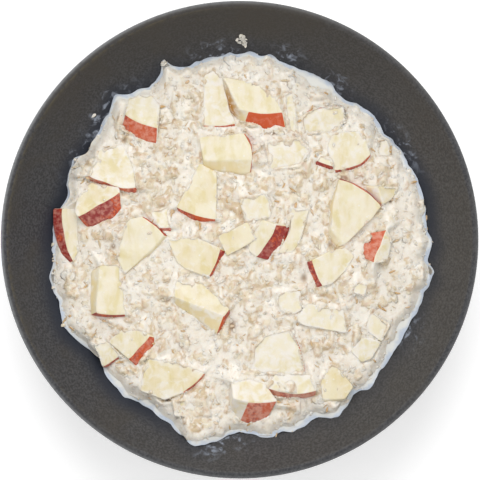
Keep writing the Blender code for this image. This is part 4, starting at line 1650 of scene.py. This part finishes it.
@dataclass(frozen=True)
class PorridgeCore:
    """The body of the porridge: its heaped top, closed along the bowl's wall."""

    heap: Heap
    cells: int = 290
    under_rows: int = 7

    def surface(self) -> Surface:
        """Grid on the unit square, mapped onto the disc by a sqrt(1 - b^2/2), b sqrt(1 - a^2/2).

        Returns:
            The closed surface with its tint, flake rims and milk.
        """
        heap, form = self.heap, self.heap.form
        line = np.linspace(-1, 1, self.cells + 1)
        a, b = np.meshgrid(line, line)
        u, v = a * np.sqrt(1 - b**2 / 2), b * np.sqrt(1 - a**2 / 2)
        reach = form.oats_radius(np.arctan2(v, u))
        x, y = u * reach, v * reach
        wall = form.bowl.wall_height(np.hypot(x, y)) + GAP / 3
        top = np.stack([x, y, np.maximum(heap.top.at(x, y), wall)], -1).reshape(-1, 3)
        row, column = np.meshgrid(np.arange(self.cells), np.arange(self.cells), indexing="ij")
        corner = row * (self.cells + 1) + column
        quads = np.stack([corner, corner + 1, corner + self.cells + 2, corner + self.cells + 1], -1)
        side = np.arange(self.cells)
        last = self.cells * (self.cells + 1)
        ring = np.concatenate([side, side * (self.cells + 1) + self.cells,
                               last + self.cells - side, last - side * (self.cells + 1)])
        radius = np.hypot(*top[ring, :2].T)
        heading = top[ring, :2] / radius[:, None]
        share = np.linspace(1, 0.1, self.under_rows)[:, None]
        under = np.empty((self.under_rows, len(ring), 3))
        under[..., :2] = heading * (share * radius)[..., None]
        under[..., 2] = np.minimum(form.bowl.wall_height(share * radius) + GAP, top[ring, 2])
        start = len(top)
        down = start + np.arange(self.under_rows * len(ring)).reshape(self.under_rows, -1)
        rows = np.concatenate([ring[None], down])
        after = np.roll(rows, -1, 1)
        walls = np.stack([rows[:-1], rows[1:], after[1:], after[:-1]], -1)
        points = np.concatenate([top, under.reshape(-1, 3), [[0, 0, form.bowl.floor_height + GAP]]])
        bottom = fan_faces(len(points) - 1, down[-1])[:, ::-1]
        faces = [quads.reshape(-1, 4), walls.reshape(-1, 4), bottom]
        surface = Surface(points, faces)
        for key, cells in (("tint", heap.tint), ("rim", heap.rim), ("pool", heap.pool),
                           ("shadow", heap.shadow)):
            surface.values[key] = np.clip(cells.at(points[:, 0], points[:, 1]), 0, 1)
        return surface.face_out()


@dataclass(frozen=True)
class FlakeKind:
    """A sort of small flat thing lying in the porridge, and how it varies.

    lift is in millimetres. stray is how often one lies on bare apple, edge how far the things keep
    to the heap's edge, gold how often one is golden, and spots where more of them lie, each with
    its place in millimetres and their count.
    """

    count: int
    length: float
    width: float
    thick: float
    spread: float
    tilt: float
    cup: float
    sectors: int
    lift: tuple[float, float]
    tint: tuple[float, float]
    rim: float
    stray: float
    edge: float
    gold: float
    seed: int
    spots: tuple[tuple[float, float, int], ...] = ()


FLAKES = FlakeKind(
    count=60, length=2.9 * MM, width=2.1 * MM, thick=0.22 * MM, spread=0.35, tilt=0.1, cup=0.1,
    sectors=14, lift=(-0.28, -0.06), tint=(0.3, 1), rim=0.5, stray=0.0, edge=0.6, gold=0.0, seed=3)
BITS = FlakeKind(
    count=1700, length=0.9 * MM, width=0.5 * MM, thick=0.24 * MM, spread=0.6, tilt=0.3, cup=0.1,
    sectors=7, lift=(-0.15, 0.12), tint=(0.3, 1), rim=0.3, stray=0.01, edge=0.0, gold=0.03, seed=4,
    spots=((1.1, 85.9, 9), (-0.4, 85.0, 4), (2.2, 84.0, 5), (-62.0, 52.5, 1), (-32.4, 76.0, 7),
           (-31.5, 73.5, 8), (-81.0, -9.0, 2), (-78.6, -3.6, 4), (80.0, 5.0, 4), (71.5, 31.5, 4)))
BRAN = FlakeKind(
    count=200, length=1.1 * MM, width=0.2 * MM, thick=0.12 * MM, spread=0.5, tilt=0.2, cup=0.3,
    sectors=6, lift=(0.0, 0.15), tint=(0, 0.5), rim=0.8, stray=0.01, edge=0.0, gold=0.4, seed=5)
HULLS = FlakeKind(
    count=150, length=1.6 * MM, width=0.4 * MM, thick=0.2 * MM, spread=0.45, tilt=0.25, cup=0.3,
    sectors=9, lift=(0.05, 0.3), tint=(0, 0.4), rim=0.6, stray=0.0, edge=0.0, gold=0.8, seed=6,
    spots=((36.9, -70.8, 3), (-74.9, -34.1, 2), (72.8, -33.2, 1), (66.3, 17.2, 2), (-68.2, 27.0, 2),
           (2.7, -24.2, 1), (5.8, -28.5, 1), (-64.0, 26.6, 1), (25.0, -21.8, 1), (36.0, -43.5, 2),
           (23.0, 21.0, 2), (-38.8, 31.5, 2), (-32.6, 48.0, 1), (59.8, 27.5, 1), (-27.0, 62.0, 2),
           (-25.0, -38.5, 1), (-37.2, -43.8, 1), (21.0, -77.0, 1), (19.5, -70.5, 1)))


@dataclass(frozen=True)
class Strewn:
    """Flat things strewn over the heap, each its own small shell."""

    heap: Heap
    kind: FlakeKind
    scatter: float = 0.9 * MM
    edge_scatter: float = 0.7 * MM
    past_edge: float = 0.1 * MM
    kept: float = 0.72
    last_share: float = 1.004
    slope_step: float = 0.8 * MM
    slope_kept: float = 0.8
    ring_reach: tuple[float, ...] = (0.45, 0.8, 1.0, 0.7)
    ring_height: tuple[float, ...] = (0.9, 0.5, -0.4, -1.1)
    ring_rim: tuple[float, ...] = (0.1, 0.55, 1.0, 1.0)
    pole_height: tuple[float, float] = (0.8, -1.2)
    pole_rim: tuple[float, float] = (0.0, 0.6)
    waves: tuple[tuple[int, float], ...] = ((2, 0.1), (3, 0.1), (5, 0.07), (1, 0.08))

    def places(self, draw: np.random.Generator) -> tuple[Array, Array, Array]:
        """Picks places over the heap where no bare apple lies.

        Args:
            draw: source of random numbers.

        Returns:
            X and Y, and the height of what lies there.
        """
        heap, kind = self.heap, self.kind
        number = np.arange(kind.count * 2)
        angle = number * math.pi * GOLDEN_ANGLE + kind.seed
        share = np.sqrt((number + 0.5) / len(number))
        reach = heap.form.oats_radius(angle) * share + smooth(0.9, 1, share) * np.minimum(
            draw.normal(0, self.edge_scatter, len(number)), self.past_edge)
        x = reach * np.cos(angle) + draw.normal(0, self.scatter, len(number))
        y = reach * np.sin(angle) + draw.normal(0, self.scatter, len(number))
        bare = np.zeros(len(number), bool)
        near = 0.6 * kind.width
        for dx, dy in ((0, 0), (near, 0), (-near, 0), (0, near), (0, -near)):
            bare |= heap.apple.at(x + dx, y + dy) > heap.top.at(x + dx, y + dy)
        keep = ~bare | (draw.random(len(number)) < kind.stray)
        wanted = self.kept * (1 - kind.edge * smooth(0.9, 0.7, share))
        keep &= draw.random(len(number)) < wanted
        keep &= heap.form.share(x, y) < self.last_share
        x, y = x[keep][: kind.count], y[keep][: kind.count]
        for spot_x, spot_y, count in kind.spots:
            x = np.append(x, spot_x * MM + draw.normal(0, 0.9 * kind.width, count))
            y = np.append(y, spot_y * MM + draw.normal(0, 0.9 * kind.width, count))
        wall = heap.form.bowl.wall_height(np.hypot(x, y)) + GAP
        return x, y, np.maximum(np.maximum(heap.soft.at(x, y), heap.apple.at(x, y)), wall)

    def surface(self) -> Surface:
        """Low domes on a cupped, ragged oval, whose edge dips under what they lie on.

        Returns:
            All of them in one surface, with tint, rim and pool values.
        """
        kind = self.kind
        draw = np.random.default_rng(kind.seed)
        x, y, z = self.places(draw)
        count = len(x)
        step = self.slope_step
        slope_x = (self.heap.soft.at(x + step, y) - self.heap.soft.at(x - step, y)) / (2 * step)
        slope_y = (self.heap.soft.at(x, y + step) - self.heap.soft.at(x, y - step)) / (2 * step)
        size = draw.uniform(1 - kind.spread, 1 + kind.spread, count)[:, None, None]
        theta = np.arange(kind.sectors) * math.tau / kind.sectors
        phase = draw.uniform(0, math.tau, (4, count, 1, 1))
        ragged = 1 + sum(amount * np.cos(k * theta + phase[i])
                         for i, (k, amount) in enumerate(self.waves))
        rings, height = np.array(self.ring_reach)[:, None], np.array(self.ring_height)[:, None]
        u = kind.length * size * ragged * rings * np.cos(theta)
        v = kind.width * size * ragged * rings * np.sin(theta)
        cup = draw.normal(0, kind.cup, (3, count, 1, 1))
        bend = (cup[0] * u**2 + cup[1] * v**2) / kind.length + cup[2] * u * v / kind.width
        groove = 0.35 * kind.thick * np.exp(-((v / (0.2 * kind.width)) ** 2)) * (height > 0)
        w = kind.thick * height + bend - groove
        w = w + 0.12 * kind.thick * draw.normal(0, 1, w.shape)
        local = np.stack([u, v, w], -1).reshape(count, -1, 3)
        poles = np.zeros((count, 2, 3))
        poles[..., 2] = np.array(self.pole_height) * kind.thick
        local = np.concatenate([local, poles], 1)
        turn = draw.uniform(0, math.tau, count)
        lean = draw.uniform(-kind.tilt, kind.tilt, (2, count)) + np.array([
            slope_x * np.cos(turn) + slope_y * np.sin(turn),
            slope_x * np.sin(turn) - slope_y * np.cos(turn)]) * self.slope_kept
        matrices = turned(np.arctan(lean[0]), np.arctan(lean[1]), turn)
        lift = draw.uniform(*kind.lift, count) * MM
        middle = np.stack([x, y, z + lift], -1)
        points = np.einsum("nij,npj->npi", matrices, local) + middle[:, None]
        sectors, per = kind.sectors, local.shape[1]
        faces = [band_faces(len(rings), sectors), fan_faces(per - 2, np.arange(sectors)[::-1]),
                 fan_faces(per - 1, (len(rings) - 1) * sectors + np.arange(sectors))]
        start = (np.arange(count) * per)[:, None, None]
        tint = np.repeat(draw.uniform(*kind.tint, count), per)
        rim = np.tile(np.concatenate([np.repeat(self.ring_rim, sectors), self.pole_rim]), count)
        flooded = np.clip(0.15 + self.heap.pool.at(x, y), 0, 1) * draw.uniform(0, 0.7, count)
        flooded *= kind.gold < 0.4
        gold = np.where(draw.random(count) < kind.gold, draw.uniform(0.25, 0.9, count), 0)
        values = {"tint": tint, "rim": rim * kind.rim, "pool": np.repeat(flooded, per),
                  "gold": np.repeat(gold, per)}
        surface = Surface(points.reshape(-1, 3),
                          [(f + start).reshape(-1, f.shape[1]) for f in faces], values)
        return surface.face_out()


# Apple


@dataclass(frozen=True)
class AppleChunk:
    """Finished piece of cut apple: the chunk's block with rounded edges and a cut surface."""

    placed: PlacedChunk
    number: int
    edge: float = 0.45 * MM
    plan_round: float = 1.0 * MM
    apple_radius: float = 34 * MM
    corner_steps: int = 5
    edge_steps: int = 8
    fringe: tuple[float, ...] = (0, 0, 0, 0.2, 0.6)
    fringe_film: float = 0.4
    flat_rings: tuple[float, ...] = (0.22, 0.45, 0.66, 0.84, 0.94)
    over_rows: int = 5
    side_rows: int = 9
    grain_step: tuple[float, float, float] = (37, 11, 5)
    cut_height: float = 0.3 * MM
    cut_sizes: tuple[float, ...] = (5 * MM, 5 * MM, 6 * MM)
    bit_height: float = 0.07 * MM
    bit_size: float = 1.6 * MM
    amber_shadow_depth: float = 0.8 * MM

    def outline(self) -> tuple[Array, Array]:
        """Walks the corners: (1-t)^2 a + 2t(1-t) c + t^2 b round each, straight lines between.

        An edge that ends in skin bulges outwards by s(1-s) * length^2 / (2 * the apple's radius).

        Returns:
            Upper, foot and under points side by side in nine columns, and 1 for each on the skin.
        """
        corner = np.concatenate(self.placed.corners(), axis=1)
        near = []
        for shift in (1, -1):
            step = np.roll(corner, shift, 0) - corner
            length = np.linalg.norm(step[:, :2], axis=1)
            near.append(corner + step * np.minimum(0.4, self.plan_round / length)[:, None])
        skin = (np.arange(len(corner)) < self.placed.chunk.skins).astype(float)
        t = np.linspace(0, 1, self.corner_steps)[None, :, None]
        arc = ((1 - t) ** 2 * near[0][:, None] + 2 * t * (1 - t) * corner[:, None]
               + t**2 * near[1][:, None])
        s = np.linspace(0, 1, self.edge_steps + 2)[None, 1:-1, None]
        step = np.roll(near[0], -1, 0) - near[1]
        line = near[1][:, None] + s * step[:, None]
        bulge = (s * (1 - s) * skin[:, None, None] / (2 * self.apple_radius)
                 * np.linalg.norm(step[:, :2], axis=1)[:, None, None])
        outward = np.zeros(step.shape)
        outward[:, ::3], outward[:, 1::3] = step[:, 1:2], -step[:, 0:1]
        line = line + bulge * outward[:, None]
        mask = np.where(t[..., 0] < 0.5, np.roll(skin, 1)[:, None], skin[:, None])
        masks = np.concatenate([mask, np.repeat(skin[:, None], self.edge_steps, 1)], 1)
        return np.concatenate([arc, line], 1).reshape(-1, 9), masks.ravel()

    def surface(self) -> Surface:
        """Rings from the middle of the upper face over its edge, down the sides, and under.

        Each ring is the outline drawn in by the edge's radius times 1 - sin(a) at a depth of the
        radius times 1 - cos(a), with a from 0 to 90 degrees over the edge.

        Returns:
            The closed surface in place.
        """
        chunk, (outline, skin) = self.placed.chunk, self.outline()
        arc = np.linspace(0, math.pi / 2, self.over_rows)
        inner = np.array(self.flat_rings)
        tall = np.maximum(outline[:, 2] - outline[:, 5], self.edge)
        round_over = (1 - np.cos(arc))[:, None] * np.minimum(self.edge / tall, 0.5)
        sides = np.linspace(0.6, 2.0, self.side_rows)[:, None] * np.ones(len(tall))
        flat = np.zeros((len(inner), len(tall)))
        depth = np.concatenate([flat, round_over, sides, flat + 2])
        turn_in = np.concatenate([self.edge * (1 - np.sin(arc)), np.zeros(self.side_rows - 1),
                                  [0.3 * self.edge]])
        scale = np.concatenate([inner, np.ones(len(turn_in)), inner[::-1]])[:, None, None]
        drawn = np.full(len(inner), self.edge)
        drawn = np.concatenate([drawn, turn_in, drawn])
        ends, rings = [], []
        for sheet in (outline[:, :3], outline[:, 3:6], outline[:, 6:]):
            middle = sheet.mean(0)
            away = sheet - middle
            length = np.linalg.norm(away[:, :2], axis=1)
            rings.append(middle + away * scale * (1 - drawn[:, None] / length)[..., None])
            ends.append(middle)
        upper_part = np.clip(depth, 0, 1)[..., None]
        under_part = np.clip(depth - 1, 0, 1)[..., None]
        points = rings[0] + upper_part * (rings[1] - rings[0]) + under_part * (rings[2] - rings[1])
        points, faces = closed_by_poles(points, ends[0], ends[2])
        depth_of = np.concatenate([depth.ravel(), [0, 2]])
        around = np.concatenate([np.broadcast_to(skin, depth.shape).ravel(), [0, 0]])
        rim = min(self.edge / float(tall.mean()), 0.5)
        grain = points + self.number * np.array(self.grain_step) * MM
        cut = np.stack([fractal(grain, size, self.number + i, 2)
                        for i, size in enumerate(self.cut_sizes)], -1)
        points = points + cut * self.cut_height
        bit = fractal(grain, self.bit_size, self.number + 9, 2)
        points[:, 2] += self.bit_height * bit
        fringe = np.concatenate([self.fringe, np.ones(len(depth) - len(self.fringe))])
        fringe = np.repeat(fringe, len(outline))
        fringe = np.concatenate([fringe, [0, 0]]) * (1 - around) * min(1, 0.2 + 2 * chunk.film)
        values = {"skin": around * smooth(0.0, 0.6 * rim, depth_of),
                  "side": smooth(0.2 * rim, 1.4 * rim, depth_of), "grain": grain,
                  "film": chunk.film + self.fringe_film * fringe,
                  "tone": np.full(len(points), chunk.tone),
                  "ripe": np.full(len(points), RIPE.get(self.number, 0))}
        # Painted shadow on the sides where a pit lies beside the piece
        deep = pit_depth(points[:, 0], points[:, 1]) / self.amber_shadow_depth
        values["amber_shadow"] = np.minimum(deep, 1) * values["side"] * (1 - around)
        return Surface(points, faces, values).face_out()


# Milk


@dataclass(frozen=True)
class MilkRing:
    """Milk between the oats and the wall, creeping up the wall where it meets it."""

    form: HeapForm
    reach_in: float = 6.5 * MM
    creep: float = 0.35 * MM
    creep_reach: float = 0.8 * MM
    crowding: float = 1.6
    ripple: float = 0.25 * MM
    ripple_size: float = 7 * MM
    sunk: float = 0.2 * MM
    least_depth: float = 0.05 * MM
    steps: int = 720
    rows: int = 12

    def surface(self) -> Surface:
        """Rings from under the oats to the wall: level plus creep * exp(-distance / its reach).

        Returns:
            The closed ring, with how thin the milk is.
        """
        angle = np.arange(self.steps) * math.tau / self.steps
        outer, level = self.form.shore(angle), self.form.milk_level(angle)
        share = 1 - (1 - np.linspace(0, 1, self.rows)[:, None]) ** self.crowding
        radius = outer - GAP - self.reach_in * (1 - share)
        here = np.stack([radius * np.cos(angle), radius * np.sin(angle)], -1)
        ripple = self.ripple * fractal(here, self.ripple_size, Seed.RIPPLE, 2) * (1 - share)
        creep = self.creep * np.exp(-(outer - radius) / self.creep_reach)
        height = level - self.sunk + ripple + creep
        floor = self.form.bowl.wall_height(radius) + GAP / 2
        height = np.maximum(height, floor + self.least_depth)
        down = np.stack([radius[::-1], floor[::-1]])
        radius, height = np.concatenate([radius, down[0]]), np.concatenate([height, down[1]])
        points = np.stack([radius * np.cos(angle), radius * np.sin(angle), height], -1)
        faces = band_faces(2 * self.rows, self.steps)
        last = (2 * self.rows - 1) * self.steps + np.arange(self.steps)
        first = np.arange(self.steps)
        close = np.stack([last, np.roll(last, -1), np.roll(first, -1), first], -1)
        thin = np.concatenate([share, share[::-1]])
        values = {"thin": np.broadcast_to(thin, radius.shape).ravel()}
        return Surface(points.reshape(-1, 3), [faces, close], values).face_out()


# Floor, light and camera


@dataclass(frozen=True)
class Studio:
    """Pale floor, soft light from above and a camera that looks straight down."""

    floor_half: float = 1.5
    camera_height: float = 0.70
    camera_offset: tuple[float, float] = (0.18 * MM, -0.13 * MM)
    frame_width: float = 201.0 * MM
    rim_height: float = 53.7 * MM
    sensor: float = 36.0
    lamp_place: tuple[float, float, float] = (-0.05, 0.85, 1.1)
    lamp_size: float = 0.8
    lamp_power: float = 7.4
    sky: float = 0.84
    floor_glow: float = 0.2

    def build(self) -> None:
        """Makes the floor, the sky, the lamp and the camera."""
        scene = bpy.context.scene
        half = self.floor_half
        mesh = bpy.data.meshes.new("floor")
        corners = [(-half, -half, 0), (half, -half, 0), (half, half, 0), (-half, half, 0)]
        mesh.from_pydata(corners, [], [(0, 1, 2, 3)])
        recipe = Recipe("Pale floor")
        recipe.set(Base_Color=shade(254, 254, 254), Roughness=0.8)
        recipe.set(Emission_Color=(1, 1, 1, 1), Emission_Strength=self.floor_glow)
        mesh.materials.append(recipe.material)
        floor = bpy.data.objects.new("floor", mesh)
        scene.collection.objects.link(floor)
        world = bpy.data.worlds.new("Sky")
        world.use_nodes = True
        background = world.node_tree.nodes["Background"]
        background.inputs["Color"].default_value = (1, 1, 1, 1)
        background.inputs["Strength"].default_value = self.sky
        scene.world = world
        light = bpy.data.lights.new("Lamp", "AREA")
        light.shape = "DISK"
        light.size = self.lamp_size
        light.energy = self.lamp_power
        lamp = bpy.data.objects.new("Lamp", light)
        lamp.location = self.lamp_place
        lamp.rotation_euler = (-Vector(self.lamp_place)).to_track_quat("-Z", "Y").to_euler()
        scene.collection.objects.link(lamp)
        view = bpy.data.cameras.new("Camera")
        view.sensor_width = self.sensor
        view.lens = self.sensor * (self.camera_height - self.rim_height) / self.frame_width
        camera = bpy.data.objects.new("Camera", view)
        camera.location = (*self.camera_offset, self.camera_height)
        scene.collection.objects.link(camera)
        scene.camera = camera
        scene.view_settings.view_transform = "Standard"


def main() -> None:
    """Builds every piece in order."""
    logging.basicConfig(level=logging.INFO, format="%(message)s")
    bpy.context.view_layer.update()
    Studio().build()
    bowl = BowlForm()
    form = HeapForm(bowl)
    placed = [PlacedChunk(chunk, form) for chunk in CHUNKS]
    heap = Heap(form, placed)
    vessel = StonewareBowl(bowl, form).surface(*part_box("bowl"))
    vessel.add_to("stoneware_bowl", Slot.STONEWARE, Stoneware().make(), ("bowl",))
    oats = SoakedOats().make("Soaked oats")
    PorridgeCore(heap).surface().add_to("porridge", Slot.OATS, oats, ("oats",))
    strewn = (("oat_flakes", FLAKES), ("oat_bits", BITS), ("bran", BRAN), ("golden_hulls", HULLS))
    for name, kind in strewn:
        Strewn(heap, kind).surface().add_to(name, Slot.OATS, oats)
    MilkRing(form).surface().add_to("milk_ring", Slot.MILK, Milk().make(), ("milk",))
    apple = Apple().make()
    for number, chunk in enumerate(placed, start=1):
        surface = AppleChunk(chunk, number).surface()
        surface.add_to(f"apple_chunk_{number:02d}", Slot.APPLE, apple, (f"apple_{number:02d}",))


if __name__ == "__main__":
    main()
